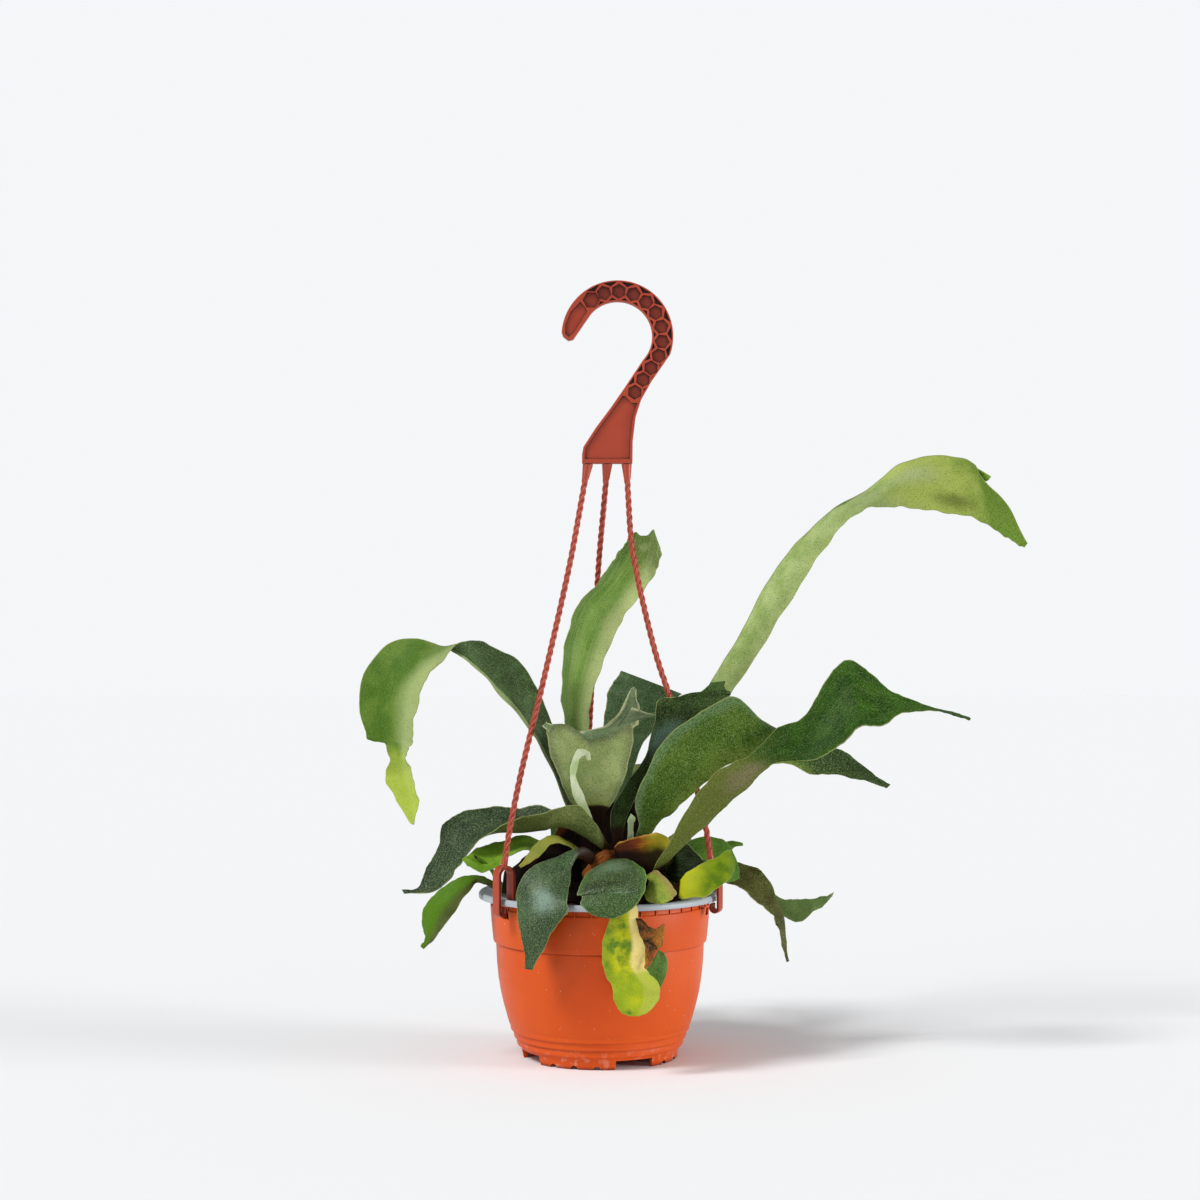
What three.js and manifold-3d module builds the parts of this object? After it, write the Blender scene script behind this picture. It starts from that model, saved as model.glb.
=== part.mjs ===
// A staghorn fern in its plastic hanging pot, standing on the pot's foot.
// Millimetres, +Z up, the front of the pot towards -Y. Inside the plant group the pot's axis is x = y = 0.
import * as THREE from 'three';
import { mergeVertices } from 'three/addons/utils/BufferGeometryUtils.js';
import Module from 'manifold-3d';

const wasm = await Module();
wasm.setup();

// Where the pot's axis stands: the whole object's box is centred on the origin.
const POT_AXIS_X = -67.4;
const POT_AXIS_Y = -19.5;

// The viewpoint that the seen outlines belong to: level, looking along +Y.
const EYE_DISTANCE = 1600;
const EYE_HEIGHT = 314.4;
const FOCAL_PX = 2315;
const PICTURE_CENTRE_PX = 600;

const DEG = Math.PI / 180;

// Solids

function signedVolume(geometry) {
  const p = geometry.attributes.position;
  const index = geometry.index.array;
  const a = new THREE.Vector3();
  const b = new THREE.Vector3();
  const c = new THREE.Vector3();
  let sum = 0;
  for (let i = 0; i < index.length; i += 3) {
    a.fromBufferAttribute(p, index[i]);
    b.fromBufferAttribute(p, index[i + 1]);
    c.fromBufferAttribute(p, index[i + 2]);
    sum += a.dot(b.cross(c)) / 6;
  }
  return sum;
}

function toSolid(geometry) {
  const bare = geometry.clone();
  bare.deleteAttribute('normal');
  bare.deleteAttribute('uv');
  const merged = mergeVertices(bare, 1e-3);
  const index = merged.index.array;
  if (signedVolume(merged) < 0) {
    for (let i = 0; i < index.length; i += 3) {
      [index[i], index[i + 1]] = [index[i + 1], index[i]];
    }
  }
  const vertProperties = new Float32Array(merged.attributes.position.array);
  return new wasm.Manifold(new wasm.Mesh({ numProp: 3, vertProperties, triVerts: new Uint32Array(index) }));
}

function toGeometry(solid) {
  const mesh = solid.getMesh();
  const geometry = new THREE.BufferGeometry();
  geometry.setAttribute('position', new THREE.BufferAttribute(new Float32Array(mesh.vertProperties), 3));
  geometry.setIndex(new THREE.BufferAttribute(new Uint32Array(mesh.triVerts), 1));
  geometry.computeVertexNormals();
  return geometry;
}

function largestBody(solid) {
  const bodies = solid.decompose();
  return bodies.reduce((best, body) => (body.volume() > best.volume() ? body : best));
}

function part(name, solid, material) {
  const mesh = new THREE.Mesh(toGeometry(solid), material);
  mesh.name = name;
  return mesh;
}

// A turned shape about the pot's axis from [radius, height] corners; it closes on itself.
function turned(profile, sides) {
  const points = profile.map(([r, z]) => new THREE.Vector2(r, z));
  if (profile[0][0] > 0 || profile[profile.length - 1][0] > 0) points.push(points[0].clone());
  return toSolid(new THREE.LatheGeometry(points, sides).rotateX(Math.PI / 2));
}

// A box with its centre at a radius, an angle (degrees from +X) and a height, turned to face outwards.
function blockAt(radius, angle, z, depth, width, height) {
  const box = new THREE.BoxGeometry(depth, width, height).translate(radius, 0, z).rotateZ(angle * DEG);
  return toSolid(box);
}

// Materials

const material = (colour, roughness) => new THREE.MeshStandardMaterial({ color: colour, roughness, metalness: 0 });
const MATERIALS = {
  terracottaPlastic: material(0xd9602c, 0.42),
  greyPlastic: material(0xa7aeb3, 0.5),
  hangerPlastic: material(0xb4492f, 0.38),
  barkMix: material(0x2c1c12, 0.95),
  crown: material(0x6b3716, 0.85),
  leafDark: material(0x3c5a3a, 0.6),
  leafGreen: material(0x587a3a, 0.55),
  leafPale: material(0x86a85f, 0.55),
  leafYellow: material(0xa3ae3a, 0.55),
};

// The pot: outer shell, inner pot

const ROUND_SIDES = 40;
const WALL = 2;
const FOOT_RADIUS = 53;
const FOOT_HEIGHT = 8;
const BAND_RADIUS = 75.7;
const BAND_FOOT_Z = 80;
const NECK_Z = 105;
const NECK_TOP_Z = 110.7;
const GAP = 0.4;
const PAD_ANGLES = [-109, -19, 71, 161];
const PAD_SPAN = 60;
const NOTCH_RADIUS = 2.6;
const NOTCH_HEIGHT = 2.6;
const WINDOW_ANGLES = [212, 346, 92];

function outerPotShell() {
  const ring = (r, z) => [[r, z], [r + 1.5, z + 1.3], [r + 2, z + 3.4]];
  const outside = [
    [FOOT_RADIUS, 0], [54.6, 7.6],
    ...ring(55.6, 8.4), ...ring(57.6, 13.4), ...ring(59.9, 18.6),
    [62.9, 24], [67, 38], [70.1, 55], [71.9, BAND_FOOT_Z - 0.8],
    [72.9, BAND_FOOT_Z], [74, BAND_FOOT_Z + 4], [BAND_RADIUS, NECK_Z], [75, NECK_Z + 0.7], [75.2, NECK_TOP_Z],
  ];
  const inside = [
    [72.4, NECK_TOP_Z], [71.9, NECK_Z], [69.9, BAND_FOOT_Z], [68.1, 55], [65, 38], [60.9, 24],
    [55, 12], [52, FOOT_HEIGHT + WALL + 0.6], [0, FOOT_HEIGHT + WALL + 0.6],
  ];
  const underside = [[0, FOOT_HEIGHT], [50.4, FOOT_HEIGHT], [FOOT_RADIUS - WALL - 0.4, 0]];
  return turned([...outside, ...inside, ...underside], ROUND_SIDES);
}

function footCuts() {
  const cuts = [];
  const gapDepth = 30;
  const gapWidth = 2 * FOOT_RADIUS * Math.sin((90 - PAD_SPAN) / 2 * DEG);
  for (const angle of PAD_ANGLES) {
    cuts.push(blockAt(FOOT_RADIUS, angle + 45, 2, gapDepth, gapWidth, 8.6));
    for (const step of [-17, 0, 17]) {
      const notch = new THREE.CylinderGeometry(NOTCH_RADIUS, NOTCH_RADIUS, 14, 8)
        .scale(1, 1, NOTCH_HEIGHT / NOTCH_RADIUS).rotateZ(Math.PI / 2).translate(FOOT_RADIUS, 0, 0)
        .rotateZ((angle + step) * DEG);
      cuts.push(toSolid(notch));
    }
  }
  return wasm.Manifold.union(cuts);
}

function outerPot() {
  const windows = WINDOW_ANGLES.map((angle) => blockAt(74, angle, 101.8, 12, 9, 5));
  return outerPotShell().subtract(footCuts()).subtract(wasm.Manifold.union(windows));
}

const LIP_RADIUS = 83.6;
const LIP_TOP_Z = 114;
const LIP_FOOT_Z = 109.5;
const LEDGE_Z = NECK_TOP_Z + GAP;
const DRAIN_HOLE_RADIUS = 4.5;
const DRAIN_HOLE_CIRCLE = 30;

function linerPot() {
  const outside = [
    [0, 14], [49, 14], [53.5, 18], [62.3, 40], [65.6, 56], [68, 80], [70.8, LEDGE_Z],
    [81, LEDGE_Z], [81.6, LIP_FOOT_Z], [LIP_RADIUS, LIP_FOOT_Z + 0.4],
    [LIP_RADIUS, LIP_TOP_Z - 0.8], [LIP_RADIUS - 0.8, LIP_TOP_Z],
  ];
  const inside = [
    [81.4, LIP_TOP_Z], [80.2, LEDGE_Z + 1.5], [70.3, LEDGE_Z + 1.5], [69, LEDGE_Z - 1],
    [66.4, 80], [64, 56], [60.8, 40], [52.4, 19], [48.4, 15.6], [0, 15.6],
  ];
  const holes = [45, 135, 225, 315].map((angle) => toSolid(
    new THREE.CylinderGeometry(DRAIN_HOLE_RADIUS, DRAIN_HOLE_RADIUS, 8, 8).rotateX(Math.PI / 2)
      .translate(DRAIN_HOLE_CIRCLE * Math.cos(angle * DEG), DRAIN_HOLE_CIRCLE * Math.sin(angle * DEG), 15),
  ));
  return turned([...outside, ...inside], ROUND_SIDES).subtract(wasm.Manifold.union(holes));
}

// The hanger: hook, three twisted arms with a clip each

const HOOK_CENTRE = [12, 496.4];
const HOOK_OUTER_RADIUS = 38.6;
const HOOK_INNER_RADIUS = 24;
const HOOK_THICKNESS = 6.4;
const PLATE_FOOT_Z = 408.4;
const POCKET_DEPTH = 1.4;

// A point on a circle about the hook's centre, at an angle in degrees from +X.
function onHook(radius, angle) {
  return [HOOK_CENTRE[0] + radius * Math.cos(angle * DEG), HOOK_CENTRE[1] + radius * Math.sin(angle * DEG)];
}

function arcOnHook(radius, from, to, steps) {
  return Array.from({ length: steps + 1 }, (_, i) => onHook(radius, from + (to - from) * i / steps));
}

function hookOutline() {
  const tip = [[-25.5, 496.3], [-22, 493.4], [-18.6, 494.1]];
  const innerEdge = [
    ...arcOnHook(HOOK_INNER_RADIUS, 165, -42, 14),
    [16.6, 460.4], [7, 446.6], [-3, 433.2], [-11.4, 420.2], [-12.4, 415], [-12.4, PLATE_FOOT_Z],
  ];
  const plateFoot = [[22.4, PLATE_FOOT_Z]];
  const outerEdge = [
    [22.6, 423.8], [24.6, 440.8], [28.4, 452.7], [35.4, 465.2], [43.9, 477.5],
    ...arcOnHook(HOOK_OUTER_RADIUS, -18, 176, 18),
  ];
  return [...tip, ...innerEdge, ...plateFoot, ...outerEdge];
}

// A flat plate in the X-Z plane with its middle on y = 0 (or at the given y).
function uprightPlate(outline, thickness, y = 0) {
  const shape = new THREE.Shape(outline.map(([x, z]) => new THREE.Vector2(x, z)));
  const plate = new THREE.ExtrudeGeometry(shape, { depth: thickness, bevelEnabled: false });
  return toSolid(plate.translate(0, 0, -thickness / 2).rotateX(Math.PI / 2).translate(0, y, 0));
}

// Twelve blind six-sided cells follow the hook's curve; their middles as seen in the picture.
const CELL_SIZE = 9;
const CELLS_PX = [
  [591.2, 300.6], [604, 293.7], [618.7, 291.9], [633.3, 294.7], [645.9, 302.5], [655.5, 313.2],
  [661.1, 327.1], [661.9, 342], [658.6, 356.2], [650.9, 368.3], [642.9, 379.9], [634.7, 392.5],
];

function hookCells() {
  const middles = CELLS_PX.map(([px, py]) => seen(px, py, 0));
  return middles.map((middle, i) => {
    const along = middles[Math.min(i + 1, 11)].clone().sub(middles[Math.max(i - 1, 0)]);
    return [middle.x, middle.z, CELL_SIZE, Math.atan2(along.z, along.x) / DEG + 90];
  });
}

function hexagon(x, z, size, turn) {
  const radius = size / Math.sqrt(3);
  return Array.from({ length: 6 }, (_, i) => {
    const angle = (turn + i * 60) * DEG;
    return [x + radius * Math.cos(angle), z + radius * Math.sin(angle)];
  });
}

function hook() {
  const faceY = HOOK_THICKNESS / 2 - POCKET_DEPTH / 2;
  const tipRecess = [...arcOnHook(36.4, 170, 143, 3), ...arcOnHook(27.4, 145, 160, 2), [-19.4, 498.4]];
  const plateRecess = [[-9.4, 416.6], [13.4, 449], [21.4, 446], [20, 412.6], [-9.4, 412.6]];
  const recesses = [
    ...hookCells().map(([x, z, size, turn]) => hexagon(x, z, size, turn)),
    tipRecess,
    plateRecess,
  ];
  let solid = uprightPlate(hookOutline(), HOOK_THICKNESS);
  for (const side of [-1, 1]) {
    const cuts = recesses.map((outline) => uprightPlate(outline, POCKET_DEPTH + 0.02, side * (faceY + 0.01)));
    solid = solid.subtract(wasm.Manifold.union(cuts));
  }
  return solid;
}

const CLIP_ANGLES = { left: 218, right: 338, back: 98 };
const CLIP_WIDTH = 6.5;
const CLIP_STRAP = 2.6;
const CLIP_OUTER_RADIUS = 87.3;
const CLIP_INNER_RADIUS = 75.8;
const CLIP_TOP_Z = 136.8;
const CLIP_HOOK_Z = 106.2;
const ARM_RADIUS = 2.1;
const ARM_ROOT_RADIUS = 3.6;
const ARM_SIDES = 8;
const ARM_ROOT_Z = PLATE_FOOT_Z - 0.3;

// The arms' middle lines, from the hook's plate down to the top of each clip's arch.
const ARM_ROUTES = {
  left: [[-8.4, 0, ARM_ROOT_Z], [-12.6, -3, 384], [-21, -9, 338], [-40, -26, 253], [-53.6, -40, 196],
    [-61, -47.6, 158], [-64.2, -50.2, CLIP_TOP_Z - 0.6]],
  right: [[18.4, 0, ARM_ROOT_Z], [19.6, -2, 384], [22.4, -5, 349], [37.5, -13, 280], [48.4, -18.4, 246],
    [62, -25, 200], [71, -28.6, 164], [75.6, -30.5, CLIP_TOP_Z - 0.6]],
  back: [[5, 0, ARM_ROOT_Z], [3, 6, 384], [-1, 20, 339], [-7, 52, 232], [-11.3, 80.7, CLIP_TOP_Z - 0.6]],
};

// A tube along a smooth line, thicker over its first stretch, closed at both ends.
function taperedTube(points, radiusAt, sides, steps) {
  const curve = new THREE.CatmullRomCurve3(points.map((p) => new THREE.Vector3(...p)));
  const rings = [];
  for (let i = 0; i <= steps; i += 1) {
    const t = i / steps;
    const centre = curve.getPointAt(t);
    const along = curve.getTangentAt(t);
    const first = new THREE.Vector3(0, 1, 0).cross(along).normalize();
    const second = along.clone().cross(first);
    const radius = radiusAt(t);
    rings.push(Array.from({ length: sides }, (_, k) => {
      const angle = 2 * Math.PI * k / sides;
      return centre.clone().addScaledVector(first, radius * Math.cos(angle))
        .addScaledVector(second, radius * Math.sin(angle));
    }));
  }
  const last = rings.length - 1;
  rings[0].forEach((p) => { p.z = points[0][2]; });
  const positions = [];
  const addTriangle = (a, b, c) => positions.push(...a, ...b, ...c);
  for (let i = 0; i < last; i += 1) {
    for (let k = 0; k < sides; k += 1) {
      const next = (k + 1) % sides;
      addTriangle(rings[i][k], rings[i][next], rings[i + 1][next]);
      addTriangle(rings[i][k], rings[i + 1][next], rings[i + 1][k]);
    }
  }
  for (let k = 1; k < sides - 1; k += 1) {
    addTriangle(rings[0][0], rings[0][k + 1], rings[0][k]);
    addTriangle(rings[last][0], rings[last][k], rings[last][k + 1]);
  }
  const geometry = new THREE.BufferGeometry();
  geometry.setAttribute('position', new THREE.Float32BufferAttribute(positions, 3));
  return toSolid(geometry);
}

// The clip's strap seen from the side, as [radius, height]: outer leg, arch, inner leg, and the J below the rim.
function clipOutline() {
  const half = CLIP_STRAP / 2;
  const archRadius = (CLIP_OUTER_RADIUS - CLIP_INNER_RADIUS) / 2;
  const archCentre = [(CLIP_OUTER_RADIUS + CLIP_INNER_RADIUS) / 2, CLIP_TOP_Z - half - archRadius];
  const jRadius = 2.6;
  const jCentre = [CLIP_OUTER_RADIUS - jRadius, CLIP_HOOK_Z];
  const arc = (centre, radius, from, to, steps) => Array.from({ length: steps + 1 }, (_, i) => {
    const angle = (from + (to - from) * i / steps) * DEG;
    return [centre[0] + radius * Math.cos(angle), centre[1] + radius * Math.sin(angle)];
  });
  const innerLegFoot = LEDGE_Z + 1.5 + GAP;
  return [
    ...arc(archCentre, archRadius + half, 0, 180, 8),
    [CLIP_INNER_RADIUS - half, innerLegFoot], [CLIP_INNER_RADIUS + half, innerLegFoot],
    ...arc(archCentre, archRadius - half, 180, 0, 6),
    ...arc(jCentre, jRadius - half + 0.2, 0, -180, 4),
    [jCentre[0] - jRadius + half, LIP_FOOT_Z - GAP], [jCentre[0] - jRadius - half + 0.6, LIP_FOOT_Z - GAP],
    ...arc(jCentre, jRadius + half, 180, 360, 6),
  ];
}

function arm(side) {
  const outline = clipOutline();
  const strap = uprightPlate(outline, CLIP_WIDTH);
  const clip = strap.rotate([0, 0, CLIP_ANGLES[side]]);
  const flare = (t) => ARM_RADIUS + (ARM_ROOT_RADIUS - ARM_RADIUS) * Math.max(0, 1 - t / 0.05);
  return taperedTube(ARM_ROUTES[side], flare, ARM_SIDES, 17).add(clip);
}

// The growing medium and the crown that every frond grows from

const CROWN_CENTRE = [17, 0, 118];
const CROWN_RADII = [40, 36, 30];
const SEAT_GAP = 0.35;

function soil() {
  const mound = [
    [0, 16.2], [47.8, 16.2], [51.8, 19.8], [60.2, 40], [63.4, 56], [65.8, 80], [67.6, 101],
    [60, 105], [36, 107.5], [0, 108.5],
  ];
  return turned(mound, ROUND_SIDES / 2);
}

// A lumpy egg; grow pushes its skin out, for the clearance that the neighbours keep from it.
function rootstock(grow) {
  const egg = new THREE.IcosahedronGeometry(1, 3);
  const p = egg.attributes.position;
  for (let i = 0; i < p.count; i += 1) {
    const [x, y, z] = [p.getX(i), p.getY(i), p.getZ(i)];
    const lump = 1 + 0.05 * Math.sin(4 * x + 1) * Math.cos(5 * y) + 0.03 * Math.sin(7 * z + 3 * x);
    p.setXYZ(i, ...CROWN_RADII.map((radius, k) => [x, y, z][k] * (radius * lump + grow) + CROWN_CENTRE[k]));
  }
  return toSolid(egg);
}

// Fronds
//
// Each frond is a blade between two edges. Its rows run from the root to the tip:
// [edge A px, edge A py, edge A depth, edge B px, edge B py, edge B depth, cup].
// px and py are where the edge is seen in the 1200 x 1200 picture, depth is its Y in mm,
// and cup is how far the blade's middle bows out, in mm, towards along x across.

const BLADE_THICKNESS = 1.2;
const EDGE_WAVE = 1.2;

const FRONDS = {
  frond_arch_left: {
    colour: 'leafDark', waves: 3, rows: [
      [607, 858, 4, 601, 862, 0, 0], [588, 828, 4, 580, 832, 0, 0], [573, 798, 2, 564, 801, -3, -1],
      [560, 745, -4, 547, 757, -15, -2], [545, 706, -10, 528, 728, -23, -3], [521, 664, -12, 503, 698, -26, -4],
      [490, 644, -14, 480, 674, -30, -4], [465, 641, -22, 457, 654, -24, -2], [448, 655, -34, 435, 644, -10, 0],
      [430, 672, -38, 400, 641, -6, 3], [419, 694, -36, 371, 661, -8, 4], [414, 718, -31, 359, 700, -12, 4],
      [413, 738, -27, 364, 732, -15, 3], [411, 746, -26, 371, 741, -16, 2], [408, 750, -26, 384, 743, -18, 1],
      [406, 757, -25, 390, 757, -19, 1], [410, 770, -24, 386, 772, -18, 2], [415, 786, -24, 388, 786, -19, 1],
      [418, 803, -23, 398, 803, -20, 1], [414, 825, -22, 411, 824, -22, 0],
    ],
  },
  frond_upright_back: {
    colour: 'leafPale', waves: 2, rows: [
      [600, 852, 6, 610, 852, 10, 0], [574, 770, 10, 590, 770, 16, 2], [565, 722, 8, 588, 728, 15, 3],
      [562, 688, 6, 593, 692, 14, 4], [565, 645, 5, 609, 650, 13, 5], [576, 608, 4, 624, 617, 11, 5],
      [600, 580, 4, 641, 594, 9, 4], [614, 559, 3, 656, 571, 8, 3], [624, 545, 2, 661, 553, 7, 2],
      [633, 529, 2, 659, 528, 6, 1],
    ],
    reach: [[0, 0.94], [0.15, 0.985], [0.35, 0.96], [0.6, 0.963], [0.8, 1], [0.9, 0.955], [1, 0.91]],
  },
  frond_tall_right: {
    colour: 'leafPale', waves: 3, rows: [
      [618, 852, 14, 630, 854, 18, 0], [655, 780, 20, 672, 785, 26, 1], [690, 718, 22, 708, 730, 30, 2],
      [712, 681, 22, 731, 694, 32, 3], [740, 636, 20, 770, 633, 34, 4], [770, 579, 18, 805, 578, 36, 4],
      [800, 539, 16, 835, 536, 38, 4], [832, 509, 14, 862, 512, 40, 4], [865, 490, 12, 890, 507, 40, 4],
      [900, 464, 10, 915, 508, 40, 5], [937, 456, 10, 945, 512, 38, 5], [970, 462, 10, 975, 518, 36, 4],
      [992, 480, 14, 1000, 533, 32, 2], [1012, 512, 18, 1013, 542, 28, 1], [1027, 544, 24, 1024, 548, 25, 0],
    ],
  },
  frond_forked_right: {
    colour: 'leafGreen', waves: 2, rows: [
      [655, 878, -10, 664, 876, -8, 0], [654, 868, -46, 668, 862, -43, 0], [672, 837, -48, 692, 838, -42, -2],
      [693, 800, -48, 716, 815, -40, -3], [712, 777, -49, 736, 797, -42, -3], [735, 762, -49, 760, 775, -43, -2],
      [752, 754, -48, 778, 762, -46, 0], [775, 730, -42, 800, 761, -50, 2], [803, 718, -36, 822, 756, -54, 4],
      [826, 682, -30, 842, 744, -56, 5], [847, 659, -28, 860, 728, -56, 5], [872, 674, -30, 882, 726, -52, 4],
      [895, 692, -34, 902, 714, -46, 2], [930, 706, -38, 930, 711, -42, 0], [973, 718, -40, 970, 721, -40, 0],
    ],
  },
  frond_broad_right: {
    colour: 'leafGreen', waves: 2, rows: [
      [626, 858, -12, 640, 858, -8, 0], [638, 828, -30, 656, 826, -22, 0], [636, 800, -37, 674, 811, -31, 1],
      [650, 765, -42, 700, 787, -35, 2], [672, 732, -44, 722, 769, -37, 3], [702, 712, -44, 742, 760, -37, 4],
      [733, 696, -42, 765, 764, -34, 4], [762, 720, -32, 788, 764, -26, 3], [800, 738, -22, 812, 774, -20, 2],
      [838, 748, -17, 838, 775, -17, 1], [862, 765, -16, 864, 781, -16, 0], [890, 785, -16, 887, 788, -16, 0],
    ],
  },
  frond_dark_right: {
    colour: 'leafDark', waves: 2, rows: [
      [612, 854, -6, 622, 854, -2, 0], [611, 815, -15, 627, 815, -11, 1], [625, 787, -18, 645, 782, -12, 1],
      [645, 757, -16, 672, 752, -10, 2], [655, 728, -14, 696, 730, -6, 3], [658, 706, -12, 716, 712, -4, 3],
      [672, 696, -10, 730, 697, -2, 2], [704, 690, -6, 728, 684, -3, 0],
    ],
  },
  frond_trough: {
    colour: 'leafGreen', waves: 1, rows: [
      [597, 858, -8, 605, 858, -6, 0], [588, 822, -17, 603, 822, -16, 1], [572, 803, -26, 613, 801, -26, 3],
      [561, 783, -34, 622, 783, -33, 7], [552, 758, -37, 630, 760, -35, 9], [546, 735, -36, 633, 735, -34, 8],
      [556, 726, -28, 624, 727, -26, 5], [584, 727, -17, 618, 722, -16, 2], [606, 712, -12, 634, 716, -12, 1],
      [622, 690, -8, 652, 712, -8, 0],
    ],
    reach: [[0, 1], [0.25, 1], [0.5, 0.91], [0.75, 0.99], [1, 1]],
  },
  frond_behind_trough: {
    colour: 'leafDark', waves: 1, rows: [
      [612, 852, 4, 622, 852, 8, 0], [606, 790, 4, 628, 790, 10, 1], [604, 740, 4, 640, 750, 12, 2],
      [606, 705, 4, 658, 722, 14, 3], [612, 684, 5, 672, 704, 14, 3], [622, 671, 6, 682, 694, 13, 1],
    ],
  },
  crozier_pale: {
    colour: 'leafPale', across: 2, waves: 0, rows: [
      [606, 864, -15, 613, 864, -14, 0], [590, 832, -29, 598, 830, -28, 0], [578, 806, -38, 586, 802, -37, 0],
      [570, 782, -47, 578, 781, -45, 0], [571, 762, -48, 578, 765, -46, 0], [578, 750, -47, 581, 757, -46, 0],
      [589, 751, -45, 586, 757, -45, 0], [591, 760, -44, 588, 760, -44, 0],
    ],
  },
  crozier_short: {
    colour: 'leafPale', across: 2, waves: 0, rows: [
      [626, 862, -16, 632, 862, -14, 0], [627, 840, -29, 633, 840, -28, 0], [628, 816, -36, 634, 814, -35, 0],
    ],
  },
  frond_low_left: {
    colour: 'leafDark', waves: 2, rows: [
      [598, 860, -20, 600, 868, -22, 0], [588, 828, -36, 594, 831, -43, -1], [572, 811, -28, 577, 808, -45, -6],
      [545, 808, -10, 547, 810, -41, -14], [520, 808, -2, 520, 819, -37, -13], [490, 807, -2, 500, 828, -34, -10],
      [462, 810, -4, 480, 841, -32, -7], [443, 826, -8, 464, 858, -30, -5], [438, 848, -10, 456, 868, -28, -3],
      [429, 866, -12, 449, 880, -26, -2], [416, 888, -14, 430, 893, -24, 0], [402, 890, -16, 404, 893, -18, 0],
    ],
  },
  frond_lower_left: {
    colour: 'leafGreen', waves: 1, rows: [
      [590, 876, -12, 590, 882, -14, 0], [548, 888, -18, 548, 894, -20, 0], [506, 887, -22, 505, 893, -24, 0],
      [490, 880, -23, 487, 886, -25, 0], [478, 875, -24, 476, 882, -27, 0], [458, 880, -26, 468, 892, -34, 1],
      [440, 890, -26, 458, 906, -36, 2], [426, 906, -26, 449, 919, -36, 2], [422, 926, -26, 440, 933, -34, 1],
      [425, 938, -28, 431, 942, -30, 0], [421, 947, -28, 424, 949, -28, 0],
    ],
  },
  leaf_bright_left: {
    colour: 'leafGreen', waves: 1, rows: [
      [592, 868, -10, 592, 876, -16, 0], [562, 852, -12, 562, 862, -24, -1], [530, 836, -12, 531, 849, -28, -2],
      [510, 840, -14, 514, 852, -32, -2], [495, 844, -17, 503, 861, -36, -2], [480, 848, -22, 492, 869, -40, -2],
      [470, 853, -31, 480, 873, -42, -1], [462, 859, -37, 467, 865, -39, 0],
    ],
  },
  leaf_pale_strip: {
    colour: 'leafYellow', across: 2, waves: 0, rows: [
      [594, 862, -16, 596, 868, -18, 0], [577, 846, -27, 580, 855, -30, 0], [556, 834, -35, 562, 845, -40, 0],
      [540, 840, -42, 547, 848, -47, 0], [529, 851, -45, 536, 860, -49, 0], [519, 866, -47, 521, 868, -48, 0],
    ],
  },
  frond_front_left: {
    colour: 'leafDark', waves: 2, rows: [
      [606, 866, -22, 600, 872, -23, 0], [584, 847, -46, 579, 858, -50, 1], [556, 858, -56, 572, 868, -62, 2],
      [532, 868, -62, 569, 884, -74, 3], [519, 884, -68, 568, 900, -84, 3], [516, 900, -72, 568, 910, -89, 2],
      [518, 918, -75, 560, 921, -89, 2], [522, 938, -76, 549, 937, -87, 1], [525, 955, -76, 541, 954, -84, 0],
      [525, 969, -76, 533, 970, -80, 0],
    ],
  },
  leaf_round_front: {
    colour: 'leafDark', waves: 0, rows: [
      [612, 872, -24, 619, 872, -24, 0], [609, 864, -40, 621, 864, -40, 0], [602, 858, -48, 628, 857, -48, 1],
      [590, 866, -57, 640, 866, -57, 2], [582, 878, -68, 645, 882, -68, 2], [580, 892, -79, 643, 896, -79, 2],
      [583, 905, -88, 634, 906, -88, 1], [594, 914, -93, 622, 915, -93, 0], [604, 918, -95, 612, 918, -95, 0],
    ],
  },
  frond_front_droop: {
    colour: 'leafYellow', waves: 2, rows: [
      [608, 880, -22, 617, 880, -22, 0], [606, 890, -50, 624, 890, -50, 0], [606, 899, -76, 630, 898, -76, 0],
      [607, 906, -87, 637, 906, -87, 0], [606, 922, -88, 655, 924, -85, 1], [602, 945, -88, 662, 944, -84, 2],
      [603, 965, -87, 667, 963, -82, 2], [611, 985, -86, 664, 983, -82, 2], [613, 1000, -86, 658, 1001, -83, 1],
      [625, 1015, -85, 643, 1013, -84, 0],
    ],
  },
  leaf_small_front: {
    colour: 'leafGreen', waves: 0, rows: [
      [640, 876, -22, 646, 876, -22, 0], [648, 880, -50, 656, 872, -50, 0], [645, 890, -64, 666, 878, -62, 1],
      [646, 898, -74, 674, 889, -71, 1], [655, 903, -79, 676, 895, -77, 0], [663, 904, -80, 672, 899, -80, 0],
    ],
  },
  leaf_yellow_right: {
    colour: 'leafYellow', waves: 1, rows: [
      [655, 882, -16, 655, 890, -16, 0], [676, 880, -44, 674, 892, -50, 0], [686, 874, -54, 684, 900, -66, 1],
      [705, 861, -54, 704, 897, -68, 2], [718, 856, -52, 716, 889, -64, 2], [730, 850, -48, 729, 880, -58, 1],
      [735, 859, -45, 735, 872, -48, 0],
    ],
  },
  frond_right_droop: {
    colour: 'leafDark', waves: 1, rows: [
      [650, 868, 0, 650, 876, -4, 0], [690, 864, 6, 690, 878, 0, 0], [718, 860, 6, 715, 882, -2, 1],
      [740, 863, 4, 735, 886, -8, 2], [758, 868, 2, 752, 898, -12, 2], [770, 880, 0, 764, 909, -14, 2],
      [778, 900, -4, 773, 916, -16, 1], [785, 922, -8, 778, 926, -16, 0], [786, 945, -12, 782, 944, -15, 0],
      [789, 961, -13, 787, 962, -14, 0],
    ],
  },
  leaf_right_beyond: {
    colour: 'leafGreen', waves: 1, rows: [
      [650, 864, 12, 650, 870, 14, 0], [700, 864, 16, 698, 874, 18, 0], [735, 872, 18, 733, 884, 18, 0],
      [765, 888, 18, 762, 902, 18, 1], [785, 899, 16, 784, 917, 14, 1], [800, 899, 16, 799, 922, 12, 1],
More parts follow.
